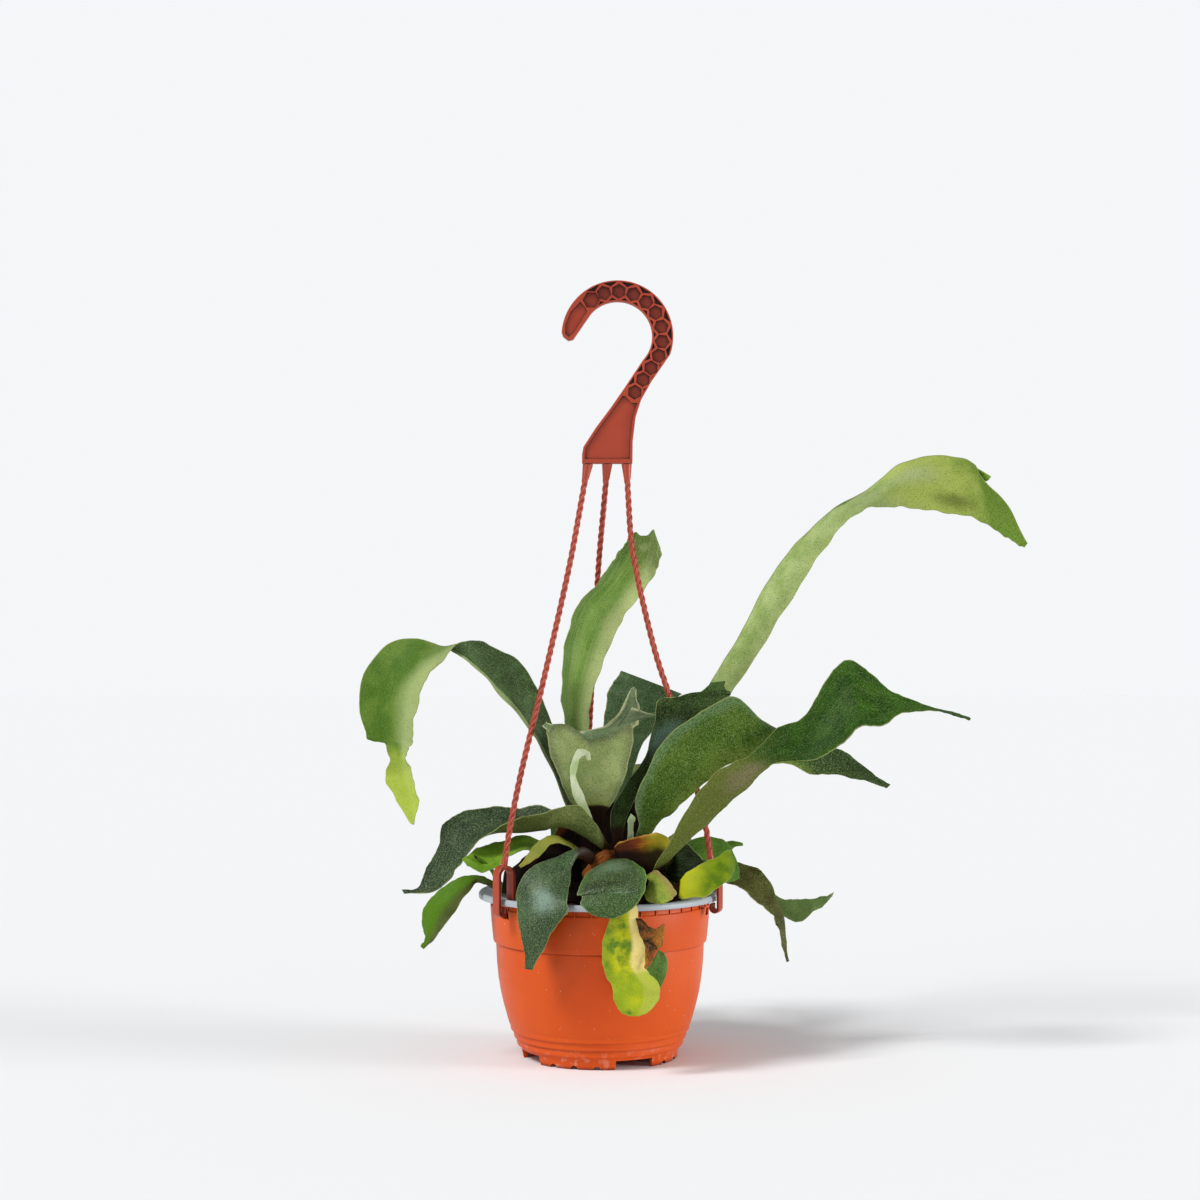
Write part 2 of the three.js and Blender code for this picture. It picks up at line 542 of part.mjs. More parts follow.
      [815, 898, 16, 812, 913, 13, 0], [826, 896, 16, 824, 905, 14, 0], [834, 892, 16, 832, 896, 16, 0],
    ],
  },
  leaf_right_back: {
    colour: 'leafGreen', waves: 1, rows: [
      [650, 860, -2, 652, 866, -6, 0], [680, 846, -6, 684, 858, -12, 0], [702, 837, -8, 704, 860, -16, 1],
      [722, 838, -8, 716, 864, -19, 2], [733, 850, -10, 722, 874, -20, 2], [738, 866, -11, 727, 882, -19, 1],
      [740, 878, -12, 733, 882, -16, 0],
    ],
  },
  leaf_dark_front_right: {
    colour: 'leafDark', waves: 0, rows: [
      [655, 866, -16, 656, 874, -16, 0], [672, 852, -25, 674, 872, -27, 0], [684, 843, -31, 685, 879, -37, 1],
      [696, 853, -33, 693, 869, -39, 1], [704, 860, -35, 702, 863, -36, 0],
    ],
  },
  frond_back_left: {
    colour: 'leafGreen', waves: 2, rows: [
      [596, 862, 10, 602, 856, 14, 0], [574, 831, 24, 588, 824, 34, 1], [558, 817, 46, 580, 811, 60, 2],
      [552, 822, 72, 575, 815, 92, 3], [551, 843, 92, 573, 836, 116, 3], [553, 868, 102, 570, 865, 124, 2],
      [558, 888, 110, 566, 888, 120, 0],
    ],
  },
  frond_back_middle: {
    colour: 'leafDark', waves: 2, rows: [
      [613, 862, 20, 623, 862, 20, 0], [606, 800, 36, 628, 800, 38, 1], [600, 766, 62, 640, 766, 64, 2],
      [598, 768, 92, 650, 768, 94, 3], [602, 796, 118, 652, 796, 118, 3], [612, 836, 132, 644, 838, 130, 1],
      [624, 862, 134, 630, 862, 134, 0],
    ],
  },
  frond_back_right: {
    colour: 'leafGreen', waves: 2, rows: [
      [640, 862, 14, 646, 866, 10, 0], [660, 843, 34, 672, 851, 26, 1], [674, 833, 58, 692, 843, 46, 2],
      [686, 835, 84, 706, 847, 66, 2], [692, 847, 104, 716, 857, 86, 2], [694, 868, 114, 716, 873, 102, 1],
      [696, 886, 116, 704, 888, 112, 0],
    ],
  },
};

// Old brown shield fronds lie round the crown and have grown on to it, so they belong to its solid.
const SHIELDS = {
  right: {
    waves: 2, rows: [
      [668, 860, -10, 668, 872, -12, 0], [671, 846, -26, 672, 864, -30, 1], [657, 833, -34, 658, 868, -39, 2],
      [640, 836, -36, 642, 868, -40, 2], [622, 842, -34, 624, 864, -38, 1], [614, 847, -31, 616, 857, -33, 0],
    ],
  },
  left: {
    waves: 1, rows: [
      [618, 852, -18, 618, 864, -20, 0], [606, 849, -33, 606, 866, -37, 1], [594, 859, -34, 595, 873, -38, 1],
      [582, 872, -32, 583, 878, -33, 0],
    ],
  },
  far_left: {
    waves: 1, rows: [
      [590, 868, -12, 590, 876, -12, 0], [566, 857, -28, 568, 869, -32, 1], [550, 851, -34, 548, 863, -38, 1],
      [538, 852, -38, 536, 865, -42, 1], [532, 858, -40, 532, 866, -42, 0],
    ],
  },
};

// A point seen at (px, py) of the picture, at a given depth in mm.
function seen(px, py, depth) {
  const scale = (EYE_DISTANCE + depth) / FOCAL_PX;
  return new THREE.Vector3(
    (px - PICTURE_CENTRE_PX) * scale, depth, EYE_HEIGHT - (py - PICTURE_CENTRE_PX) * scale,
  );
}

// How far along its rows a forked end reaches, at a place v across the blade.
function reachAt(reach, v) {
  if (!reach) return 1;
  const next = reach.findIndex(([at]) => at >= v);
  if (next <= 0) return reach[Math.max(next, 0)][1];
  const [v0, r0] = reach[next - 1];
  const [v1, r1] = reach[next];
  return r0 + (r1 - r0) * (v - v0) / (v1 - v0);
}

// The blade's middle surface: points[i][j], i from root to tip, j from edge A to edge B.
function bladeSurface({ rows, waves, reach }, along, across) {
  const edgeA = new THREE.CatmullRomCurve3(rows.map((r) => seen(r[0], r[1], r[2])), false, 'catmullrom');
  const edgeB = new THREE.CatmullRomCurve3(rows.map((r) => seen(r[3], r[4], r[5])), false, 'catmullrom');
  const cups = new THREE.CatmullRomCurve3(rows.map((r) => new THREE.Vector3(r[6], 0, 0)), false, 'catmullrom');
  const step = 0.01;
  const middle = (t) => edgeA.getPoint(t).lerp(edgeB.getPoint(t), 0.5);
  const pointAt = (t, v) => {
    const a = edgeA.getPoint(t);
    const b = edgeB.getPoint(t);
    const direction = middle(Math.min(1, t + step)).sub(middle(Math.max(0, t - step)));
    const normal = direction.cross(b.clone().sub(a)).normalize();
    const bow = cups.getPoint(t).x * 4 * v * (1 - v);
    const side = 2 * v - 1;
    const wave = EDGE_WAVE * side * side * Math.sin(Math.PI * t) * Math.sin(2 * Math.PI * waves * t + 2 * side);
    return a.lerp(b, v).addScaledVector(normal, bow + wave);
  };
  return Array.from({ length: along + 1 }, (_, i) => Array.from({ length: across + 1 }, (__, j) => {
    const u = i / along;
    const v = j / across;
    return pointAt(u * (1 - (1 - reachAt(reach, v)) * u * u), v);
  }));
}

// Both faces of a blade share their diagonals, and walls along its four sides close it.
function bladeSolid(frond, thickness = BLADE_THICKNESS) {
  const along = (frond.rows.length - 1) * 2;
  const across = frond.across ?? 4;
  const points = bladeSurface(frond, along, across);
  const at = (i, j) => points[Math.min(Math.max(i, 0), along)][Math.min(Math.max(j, 0), across)];
  const faces = [1, -1].map((side) => points.map((row, i) => row.map((point, j) => {
    const normal = at(i + 1, j).clone().sub(at(i - 1, j)).cross(at(i, j + 1).clone().sub(at(i, j - 1)));
    return point.clone().addScaledVector(normal.normalize(), side * thickness / 2);
  })));
  const positions = [];
  const addTriangle = (a, b, c) => positions.push(...a, ...b, ...c);
  const addQuad = (a, b, c, d) => {
    addTriangle(a, b, c);
    addTriangle(a, c, d);
  };
  const [top, bottom] = faces;
  for (let i = 0; i < along; i += 1) {
    for (let j = 0; j < across; j += 1) {
      addQuad(top[i][j], top[i + 1][j], top[i + 1][j + 1], top[i][j + 1]);
      addTriangle(bottom[i][j], bottom[i + 1][j + 1], bottom[i + 1][j]);
      addTriangle(bottom[i][j], bottom[i][j + 1], bottom[i + 1][j + 1]);
    }
    addQuad(top[i][0], bottom[i][0], bottom[i + 1][0], top[i + 1][0]);
    addQuad(top[i][across], top[i + 1][across], bottom[i + 1][across], bottom[i][across]);
  }
  for (let j = 0; j < across; j += 1) {
    addQuad(top[0][j], top[0][j + 1], bottom[0][j + 1], bottom[0][j]);
    addQuad(top[along][j], bottom[along][j], bottom[along][j + 1], top[along][j + 1]);
  }
  const geometry = new THREE.BufferGeometry();
  geometry.setAttribute('position', new THREE.Float32BufferAttribute(positions, 3));
  return toSolid(geometry);
}

// The same blade with each edge moved outwards by some picture px.
function widened(frond, px) {
  const rows = frond.rows.map(([ax, ay, ad, bx, by, bd, cup]) => {
    const width = Math.max(1, Math.hypot(bx - ax, by - ay));
    const dx = px * (bx - ax) / width;
    const dy = px * (by - ay) / width;
    return [ax - dx, ay - dy, ad, bx + dx, by + dy, bd, cup];
  });
  return { ...frond, rows };
}

function crown(grow) {
  const pxPerMm = FOCAL_PX / EYE_DISTANCE;
  const shields = Object.values(SHIELDS).map((shield) => (
    bladeSolid(widened(shield, 1.5 * grow * pxPerMm), BLADE_THICKNESS + 2 * grow)
  ));
  return wasm.Manifold.union([rootstock(grow), ...shields]);
}

const crownKeepOut = crown(SEAT_GAP);

const plant = new THREE.Group();
plant.add(part('outer_pot', outerPot(), MATERIALS.terracottaPlastic));
plant.add(part('liner_pot', linerPot(), MATERIALS.greyPlastic));
plant.add(part('hanger_hook', hook(), MATERIALS.hangerPlastic));
for (const side of Object.keys(CLIP_ANGLES)) {
  plant.add(part(`hanger_arm_${side}`, arm(side), MATERIALS.hangerPlastic));
}

plant.add(part('soil', soil().subtract(crownKeepOut), MATERIALS.barkMix));
plant.add(part('crown', crown(0), MATERIALS.crown));
for (const [name, frond] of Object.entries(FRONDS)) {
  const blade = largestBody(bladeSolid(frond).subtract(crownKeepOut));
  plant.add(part(name, blade, MATERIALS[frond.colour]));
}

plant.position.set(POT_AXIS_X, POT_AXIS_Y, 0);
const object = new THREE.Group();
object.add(plant);
export default object;
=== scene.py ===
"""Dresses the staghorn fern and its hanging pot: finer pieces, materials, light and camera."""
import math
import random

import bmesh
import bpy
import numpy as np
from mathutils import Euler, Matrix, Vector


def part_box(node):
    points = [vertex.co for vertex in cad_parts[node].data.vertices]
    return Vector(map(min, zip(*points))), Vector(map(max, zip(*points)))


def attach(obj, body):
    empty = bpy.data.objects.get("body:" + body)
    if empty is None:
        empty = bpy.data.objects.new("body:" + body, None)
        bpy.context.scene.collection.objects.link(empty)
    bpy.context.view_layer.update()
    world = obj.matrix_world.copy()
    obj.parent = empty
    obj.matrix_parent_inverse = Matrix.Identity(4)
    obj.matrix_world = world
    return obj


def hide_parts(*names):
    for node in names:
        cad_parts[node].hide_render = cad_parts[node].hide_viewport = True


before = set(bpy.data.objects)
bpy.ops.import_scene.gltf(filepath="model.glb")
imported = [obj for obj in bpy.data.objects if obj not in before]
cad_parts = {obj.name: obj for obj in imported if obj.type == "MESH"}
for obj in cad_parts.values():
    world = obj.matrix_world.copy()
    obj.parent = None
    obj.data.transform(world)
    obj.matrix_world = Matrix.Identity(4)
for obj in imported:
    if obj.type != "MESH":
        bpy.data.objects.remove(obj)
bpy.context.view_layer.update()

MM = 0.001
pot_low, pot_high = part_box("outer_pot")
AXIS = Vector(((pot_low[0] + pot_high[0]) / 2, (pot_low[1] + pot_high[1]) / 2, 0))

# Camera: level, in front of the pot, where the outlines in this file were seen from.
EYE_DISTANCE = 1600.0
EYE_HEIGHT = 314.4
FOCAL_PX = 2315.0
PICTURE_PX = 1200
PICTURE_CENTRE_PX = 600
SENSOR_MM = 36.0
CLIP_END_M = 50


def add_camera():
    camera = bpy.data.cameras.new("camera")
    camera.sensor_width = SENSOR_MM
    camera.lens = FOCAL_PX / PICTURE_PX * SENSOR_MM
    camera.clip_end = CLIP_END_M
    holder = bpy.data.objects.new("camera", camera)
    holder.location = AXIS + Vector((0, -EYE_DISTANCE * MM, EYE_HEIGHT * MM))
    holder.rotation_euler = (math.radians(90), 0, 0)
    bpy.context.collection.objects.link(holder)
    bpy.context.scene.camera = holder


# Mesh helpers. Shapes, but for the floor, are in millimetres about the pot's axis.

# Faces that meet at less than this many degrees are shaded as one smooth surface.
SMOOTH = 40
SMOOTH_CUT = 35
SMOOTH_LEAF = 50
SMOOTH_CROWN = 60
SMOOTH_BARK = 30


def to_object(name, vertices, faces, face_materials=None, uvs=None, smooth_angle=SMOOTH):
    mesh = bpy.data.meshes.new(name)
    placed = np.asarray(vertices, float) * MM + np.array(AXIS)
    mesh.from_pydata(placed.tolist(), [], faces)
    if face_materials is not None:
        mesh.polygons.foreach_set("material_index", face_materials)
    if uvs is not None:
        layer = mesh.uv_layers.new(name="UVMap")
        corners = np.empty(len(mesh.loops), dtype=np.int32)
        mesh.loops.foreach_get("vertex_index", corners)
        layer.data.foreach_set("uv", np.asarray(uvs, np.float32)[corners].ravel())
    finish_mesh(mesh, smooth_angle)
    obj = bpy.data.objects.new(name, mesh)
    bpy.context.collection.objects.link(obj)
    return obj


def finish_mesh(mesh, smooth_angle):
    mesh.polygons.foreach_set("use_smooth", [True] * len(mesh.polygons))
    mesh.set_sharp_from_angle(angle=math.radians(smooth_angle))
    mesh.update()


def settle(obj):
    """Applies the object's modifiers, so that the piece is a plain mesh."""
    graph = bpy.context.evaluated_depsgraph_get()
    mesh = bpy.data.meshes.new_from_object(obj.evaluated_get(graph))
    obj.modifiers.clear()
    obj.data = mesh
    finish_mesh(mesh, SMOOTH_CUT)
    return obj


def merge(target, other, smooth_angle=SMOOTH):
    """Moves another object's mesh, with its material numbers, into the target's."""
    mesh = bmesh.new()
    mesh.from_mesh(target.data)
    mesh.from_mesh(other.data)
    mesh.to_mesh(target.data)
    mesh.free()
    bpy.data.objects.remove(other)
    finish_mesh(target.data, smooth_angle)


def lathe(name, profile, sides):
    """A closed turned shape from (radius, height) corners, outside going up, inside coming down."""
    angles = [2 * math.pi * k / sides for k in range(sides)]
    vertices = []
    rings = []
    for radius, z in profile:
        if radius < 1e-6:
            rings.append([len(vertices)])
            vertices.append((0, 0, z))
            continue
        rings.append(range(len(vertices), len(vertices) + sides))
        vertices += [(radius * math.cos(a), radius * math.sin(a), z) for a in angles]
    faces = []
    for low, high in zip(rings, rings[1:] + rings[:1]):
        if len(low) == len(high) == 1:
            continue
        for k in range(sides):
            n = (k + 1) % sides
            if len(low) == 1:
                faces.append((low[0], high[n], high[k]))
            elif len(high) == 1:
                faces.append((low[k], low[n], high[0]))
            else:
                faces.append((low[k], low[n], high[n], high[k]))
    return to_object(name, vertices, faces)


def block(centre, size, turn_z=0.0):
    """Corners and faces of a box, turned about the pot's axis by turn_z degrees."""
    spin = Matrix.Rotation(math.radians(turn_z), 4, "Z")
    ring = ((-1, -1), (1, -1), (1, 1), (-1, 1))
    corners = [spin @ Vector([c + s * d / 2 for c, s, d in zip(centre, (*side, end), size)])
               for end in (-1, 1) for side in ring]
    faces = [(0, 3, 2, 1), (4, 5, 6, 7), (0, 1, 5, 4), (1, 2, 6, 5), (2, 3, 7, 6), (3, 0, 4, 7)]
    return corners, faces


def joined(parts):
    """The corners and faces of several shapes as one list each."""
    vertices, faces = [], []
    for corners, part_faces in parts:
        start = len(vertices)
        vertices += [tuple(c) for c in corners]
        faces += [tuple(start + i for i in face) for face in part_faces]
    return vertices, faces


def prism(outline, y_low, y_high):
    """Corners and faces of an outline in X-Z, drawn from y_low to y_high."""
    area = sum(a[0] * b[1] - b[0] * a[1] for a, b in zip(outline, outline[1:] + outline[:1]))
    ring = outline if area > 0 else outline[::-1]
    count = len(ring)
    corners = [(x, y_low, z) for x, z in ring] + [(x, y_high, z) for x, z in ring]
    faces = [tuple(range(count)), tuple(range(2 * count - 1, count - 1, -1))]
    faces += [(i, i + count, (i + 1) % count + count, (i + 1) % count) for i in range(count)]
    return corners, faces


def cut(obj, parts, name):
    """Cuts closed shapes out of a piece."""
    vertices, faces = joined(parts)
    cutter = to_object(name, vertices, faces)
    modifier = obj.modifiers.new("cut", "BOOLEAN")
    modifier.operation = "DIFFERENCE"
    modifier.solver = "EXACT"
    modifier.use_self = True
    modifier.object = cutter
    settle(obj)
    bpy.data.objects.remove(cutter)


def arc(centre, radius, start, end, steps):
    """Points on a circle, angles in degrees."""
    points = []
    for i in range(steps + 1):
        a = math.radians(start + (end - start) * i / steps)
        points.append((centre[0] + radius * math.cos(a), centre[1] + radius * math.sin(a)))
    return points


def dressed(obj, materials, node):
    """Gives a piece its materials, hangs it under the root body and hides the node of the solids that it
    stands for.
    """
    for material in materials:
        obj.data.materials.append(material)
    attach(obj, "root")
    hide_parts(node)


# Materials. A colour is three 8-bit numbers, as on a screen. A depth is in metres unless its name says mm.

def linear(red, green, blue):
    """An 8-bit screen colour as the shader's linear colour."""
    channels = [c / 255 for c in (red, green, blue)]
    return tuple(c / 12.92 if c <= 0.04045 else ((c + 0.055) / 1.055) ** 2.4 for c in channels) + (1.0,)


class Shader:
    """A Principled material with short calls for the nodes that feed it."""

    def __init__(self, name):
        self.material = bpy.data.materials.new(name)
        self.material.use_nodes = True
        self.tree = self.material.node_tree
        self.principled = self.tree.nodes["Principled BSDF"]

    def feed(self, socket, value):
        """Links a socket to another one or sets it to a plain value."""
        if isinstance(value, bpy.types.NodeSocket):
            self.tree.links.new(value, socket)
        else:
            socket.default_value = value

    def node(self, kind, inputs=(), **settings):
        node = self.tree.nodes.new(kind)
        for key, value in settings.items():
            setattr(node, key, value)
        for key, value in dict(inputs).items():
            self.feed(node.inputs[key], value)
        return node

    def put(self, **inputs):
        for key, value in inputs.items():
            self.feed(self.principled.inputs[key.replace("_", " ")], value)

    def glow(self, weight, radius, scale):
        """Lets light go a little way into the surface."""
        self.put(Subsurface_Weight=weight, Subsurface_Radius=radius, Subsurface_Scale=scale)

    def coordinates(self, kind="Object", scale=(1, 1, 1)):
        source = self.node("ShaderNodeTexCoord").outputs[kind]
        return self.node("ShaderNodeMapping", {"Vector": source, "Scale": scale}).outputs["Vector"]

    def blade_place(self):
        """How far across a blade and how far along it, from its UVs."""
        return self.node("ShaderNodeSeparateXYZ", {"Vector": self.coordinates("UV")}).outputs[:2]

    def noise(self, scale, detail=3.0, stretch=(1, 1, 1), kind="Object", distortion=0.0):
        inputs = {"Vector": self.coordinates(kind, stretch), "Scale": scale, "Detail": detail,
                  "Distortion": distortion}
        return self.node("ShaderNodeTexNoise", inputs).outputs["Fac"]

    def wander(self, scale, detail, amount):
        """Noise about zero, for an uneven border."""
        return self.math("MULTIPLY", self.math("SUBTRACT", self.noise(scale, detail), 0.5), amount)

    def ramp(self, factor, stops):
        """A ramp between stops of (place, colour or grey from 0 to 1)."""
        node = self.node("ShaderNodeValToRGB", {"Fac": factor})
        ramp = node.color_ramp
        while len(ramp.elements) < len(stops):
            ramp.elements.new(0.5)
        for element, (at, value) in zip(ramp.elements, stops):
            element.position = at
            element.color = linear(*value) if isinstance(value, tuple) else (value, value, value, 1)
        return node.outputs["Color"]

    def mix(self, factor, first, second, blend="MIX"):
        """Mixes two colours, each a socket or three 8-bit numbers."""
        node = self.node("ShaderNodeMix", {0: factor}, data_type="RGBA", blend_type=blend)
        for index, value in ((6, first), (7, second)):
            self.feed(node.inputs[index], linear(*value) if isinstance(value, tuple) else value)
        return node.outputs[2]

    def math(self, operation, first, second=0.0):
        return self.node("ShaderNodeMath", {0: first, 1: second}, operation=operation).outputs[0]

    def painted_shade(self, colour, darker, reach_mm):
        """Painted shade: darkens a colour where the surface lies in a narrow corner or a hole, from ambient
        occlusion.
        """
        inputs = {"Distance": reach_mm * MM}
        openness = self.node("ShaderNodeAmbientOcclusion", inputs, samples=8).outputs["AO"]
        return self.mix(self.ramp(openness, [(0.25, 1.0), (0.85, 0.0)]), colour, darker)

    def bump(self, height, strength, distance, normal=None):
        inputs = {"Height": height, "Strength": strength, "Distance": distance}
        if normal is not None:
            inputs["Normal"] = normal
        return self.node("ShaderNodeBump", inputs).outputs["Normal"]


def moulded_plastic(name, colour, darker, roughness, grain, glow, painted_shade=None, reach_mm=6.0):
    """Moulded plastic: a faint cloudy tone, an uneven shine, a fine moulded grain and, when a shade colour
    is given, painted shade in its corners and hollows.
    """
    shader = Shader(name)
    clouds = shader.noise(22, 4)
    tone = shader.mix(shader.ramp(clouds, [(0.35, 0.0), (0.7, 1.0)]), colour, darker)
    # Painted shade: the shade colour darkens the tone in corners, cells and grooves.
    if painted_shade:
        tone = shader.painted_shade(tone, painted_shade, reach_mm)
    shader.put(Base_Color=tone)
    shine = shader.noise(60, 5)
    shader.put(Roughness=shader.ramp(shine, [(0.3, roughness - 0.06), (0.7, roughness + 0.08)]))
    coarse = shader.bump(shader.noise(140, 3), grain * 0.5, 0.0006)
    shader.put(Normal=shader.bump(shader.noise(2600, 2), grain, 0.00015, coarse))
    shader.glow(glow, (1.0, 0.35, 0.15), 0.004)
    return shader.material


def fade(shader, place, start, end, strength=1.0):
    """0 before start and strength after end; start may be the larger one."""
    inputs = {0: place, 1: start, 2: end, 3: 0.0, 4: strength}
    return shader.node("ShaderNodeMapRange", inputs, interpolation_type="SMOOTHSTEP").outputs[0]


def spot_mask(shader, centre, size, soft=0.2):
    """1 inside a ragged oval of the blade's UVs and 0 outside it."""
    offset = shader.node("ShaderNodeVectorMath", {0: shader.coordinates("UV"), 1: (*centre, 0)},
                         operation="SUBTRACT").outputs[0]
    scaled = shader.node("ShaderNodeVectorMath", {0: offset, 1: (1 / size[0], 1 / size[1], 0)},
                         operation="MULTIPLY").outputs[0]
    distance = shader.node("ShaderNodeVectorMath", {0: scaled}, operation="LENGTH").outputs["Value"]
    ragged = shader.math("ADD", distance, shader.math("MULTIPLY", shader.noise(150, 4), 0.6))
    return fade(shader, ragged, 1.3 + soft, 1.3 - soft)


VEIN_TONE = (176, 190, 120)
HAIR_TONE = (140, 156, 112)
BETWEEN_HAIRS_TONE = (116, 126, 108)
FELT_TONE = (40, 24, 12)


def leaf_skin(name, base, mottle, fades=(), spots=(), margin=None, hairs=0.3, gloss=0.5, vein=0.05,
              cloud=70, root=0.05, shine=0.09):
    """One face of a frond. Its UVs run across the blade in X and from root to tip in Y.

    A fade is (along or across, start, end, colour, strength), a spot is (centre, size, softness, colour).
    hairs says how plain its star-shaped hairs are, and cloud how fine its mottling is.
    root is the share of the length that is covered with brown felt.
    """
    shader = Shader(name)
    across, along = shader.blade_place()
    colour = shader.mix(fade(shader, shader.noise(cloud, 4), 0.36, 0.66), base, mottle)
    wander = shader.wander(45, 3, 0.16)
    colour = tinted(shader, colour, across, along, wander, fades)
    for centre, size, soft, tone in spots:
        colour = shader.mix(spot_mask(shader, centre, size, soft), colour, tone)
    lines = shader.noise(1.0, 3, stretch=(40, 4, 1), kind="UV", distortion=0.5)
    vein_mask = shader.ramp(lines, [(0.48, 0.0), (0.6, vein), (0.7, 0.0)])
    colour = shader.mix(vein_mask, colour, VEIN_TONE)
    hair = shader.noise(1250, 2)
    colour = shader.mix(fade(shader, hair, 0.53, 0.63, hairs * 0.8), colour, HAIR_TONE)
    between = fade(shader, hair, 0.47, 0.36, min(1, hairs * 1.5))
    colour = shader.mix(between, colour, BETWEEN_HAIRS_TONE, "MULTIPLY")
    if margin:
        side = shader.math("ABSOLUTE", shader.math("SUBTRACT", across, 0.5))
        colour = shader.mix(fade(shader, side, 0.482, 0.496, 0.6), colour, margin)
    felt = shader.math("ADD", along, shader.math("MULTIPLY", wander, 0.3))
    colour = shader.mix(fade(shader, felt, root + 0.03, root), colour, FELT_TONE)
    shader.put(Base_Color=colour)
    shader.put(Roughness=shader.ramp(shader.noise(260, 3), [(0.3, gloss - 0.07), (0.7, gloss + 0.12)]))
    broad = shader.bump(shader.noise(120, 3), 0.3, 0.0012)
    veined = shader.bump(lines, 0.3, 0.0005, broad)
    shader.put(Normal=shader.bump(hair, 0.4, 0.0004, veined), Specular_IOR_Level=shine)
    shader.glow(0.08, (0.5, 1.0, 0.1), 0.002)
    return shader.material


def earthy(name, base, darker, lighter, scale, bump_mm):
    """Bark, moss and scaly brown tissue."""
    shader = Shader(name)
    tone = shader.ramp(shader.noise(scale, 6), [(0.3, darker), (0.52, base), (0.72, lighter)])
    shader.put(Base_Color=tone, Roughness=0.95, Specular_IOR_Level=0.1)
    rough = shader.bump(shader.noise(scale * 2.2, 6), 0.8, bump_mm * MM)
    shader.put(Normal=shader.bump(shader.noise(scale * 14, 4), 0.5, 0.25 * bump_mm * MM, rough))
    return shader.material


def tinted(shader, colour, across, along, wander, fades):
    """Lays fades of (along or across, start, end, colour, strength) over a colour."""
    for axis, start, end, tone, strength in fades:
        place = shader.math("ADD", along if axis == "along" else across, wander)
        colour = shader.mix(fade(shader, place, start, end, strength), colour, tone)
    return colour


def shield_skin(name, base, fibre, *fades):
    """Papery dead shield frond, veined from root to tip."""
    shader = Shader(name)
    across, along = shader.blade_place()
    fibres = shader.noise(1.0, 5, stretch=(24, 5, 1), kind="UV", distortion=0.6)
    colour = shader.mix(fade(shader, fibres, 0.4, 0.66, 0.8), base, fibre)
    wander = shader.wander(90, 4, 0.3)
    colour = tinted(shader, colour, across, along, wander, fades)
    shader.put(Base_Color=colour, Roughness=0.85, Specular_IOR_Level=0.12)
    rough = shader.bump(fibres, 0.6, 0.0008)
    shader.put(Normal=shader.bump(shader.noise(500, 4), 0.4, 0.0004, rough))
    return shader.material


# The pot: outer shell and inner pot

POT_SIDES = 160
FOOT_RADIUS = 53.0
FOOT_HEIGHT = 8.0
BAND_RADIUS = 75.7
BAND_FOOT_Z = 80.0
NECK_Z = 105.0
NECK_TOP_Z = 110.7
NECK_RIBS = 42
RIB_RADIUS = 74.8
RIB_DEPTH = 1.2
RIB_WIDTH = 0.9
# The foot has four pads, each with three round notches. PAD_TO_GAP degrees after a pad's middle comes a
# gap that is PAD_GAP degrees wide.
PAD_ANGLES = (-109, -19, 71, 161)
PAD_TO_GAP = 45
PAD_GAP = 30
GAP_TOP_Z = 6.3
GAP_FOOT_Z = -2.3
NOTCH_STEPS = (-17, 0, 17)
NOTCH_RADIUS = 2.6
WINDOW_ANGLES = (212, 346, 92)
WINDOW_WALL_RADIUS = 74
WINDOW_Z = 101.8
WINDOW_WIDTH = 9
WINDOW_HEIGHT = 5
# How far the cutters of windows and gaps reach through the wall.
WINDOW_REACH = 12
GAP_REACH = 30
NOTCH_REACH = 8
LEDGE_Z = 111.1
LIP_RADIUS = 83.6
LIP_TOP_Z = 114.0
LIP_FOOT_Z = 109.5


def softened(profile, radius=0.45):
    """Rounds each corner of a closed profile with three points."""
    points = [Vector((r, z)) for r, z in profile]
    rounded = []
    for before, corner, after in zip(points[-1:] + points[:-1], points, points[1:] + points[:1]):
        back, ahead = before - corner, after - corner
        reach = min(radius, back.length / 3, ahead.length / 3)
        if corner.x < 1e-6 or back.angle(ahead) > math.radians(172):
            rounded.append(corner)
            continue
        start = corner + back.normalized() * reach
        end = corner + ahead.normalized() * reach
        rounded += [start, (start + end) / 4 + corner / 2, end]
    return [tuple(p) for p in rounded]


def ring_profile(radius, z):
    """One moulded ring: an undercut shelf, then a rounded shoulder that runs back into the wall."""
    steps = ((-0.2, 0.1), (1.5, 0.4), (1.9, 1.4), (2.0, 3.3))
    return [(radius + out, z + up) for out, up in steps]


def outer_pot_profile():
    outside = [
        (FOOT_RADIUS, 0), (54.6, 7.6),
        *ring_profile(55.6, 8.4), *ring_profile(57.6, 13.4), *ring_profile(59.9, 18.6),
        (62.9, 24), (64.6, 30), (66.8, 38), (68.7, 46.5), (70.1, 55), (71.1, 65), (71.8, BAND_FOOT_Z - 1),
        (71.6, BAND_FOOT_Z - 0.4), (73.5, BAND_FOOT_Z), (74, BAND_FOOT_Z + 4), (74.9, 93),
        (BAND_RADIUS, NECK_Z), (74.6, NECK_Z + 0.5), (74.6, NECK_TOP_Z),
    ]
    inside = [
        (72.4, NECK_TOP_Z), (71.9, NECK_Z), (69.9, BAND_FOOT_Z), (68.1, 55), (65, 38), (60.9, 24),
        (55, 12), (52, 10.6), (0, 10.6),
    ]
    underside = [(0, FOOT_HEIGHT), (50.4, FOOT_HEIGHT), (50.6, 0)]
    return softened(outside + inside + underside)


def notch(angle, sides=20):
    """A round cutter that lies across the foot's wall."""
    spin = Matrix.Rotation(math.radians(angle), 4, "Z")
    turns = [2 * math.pi * k / sides for k in range(sides)]
    rings = []
    for r in (FOOT_RADIUS - NOTCH_REACH, FOOT_RADIUS + NOTCH_REACH):
        rings += [spin @ Vector((r, NOTCH_RADIUS * math.cos(a), NOTCH_RADIUS * math.sin(a))) for a in turns]
    faces = [tuple(range(sides - 1, -1, -1)), tuple(range(sides, 2 * sides))]
    faces += [(k, (k + 1) % sides, (k + 1) % sides + sides, k + sides) for k in range(sides)]
    return rings, faces


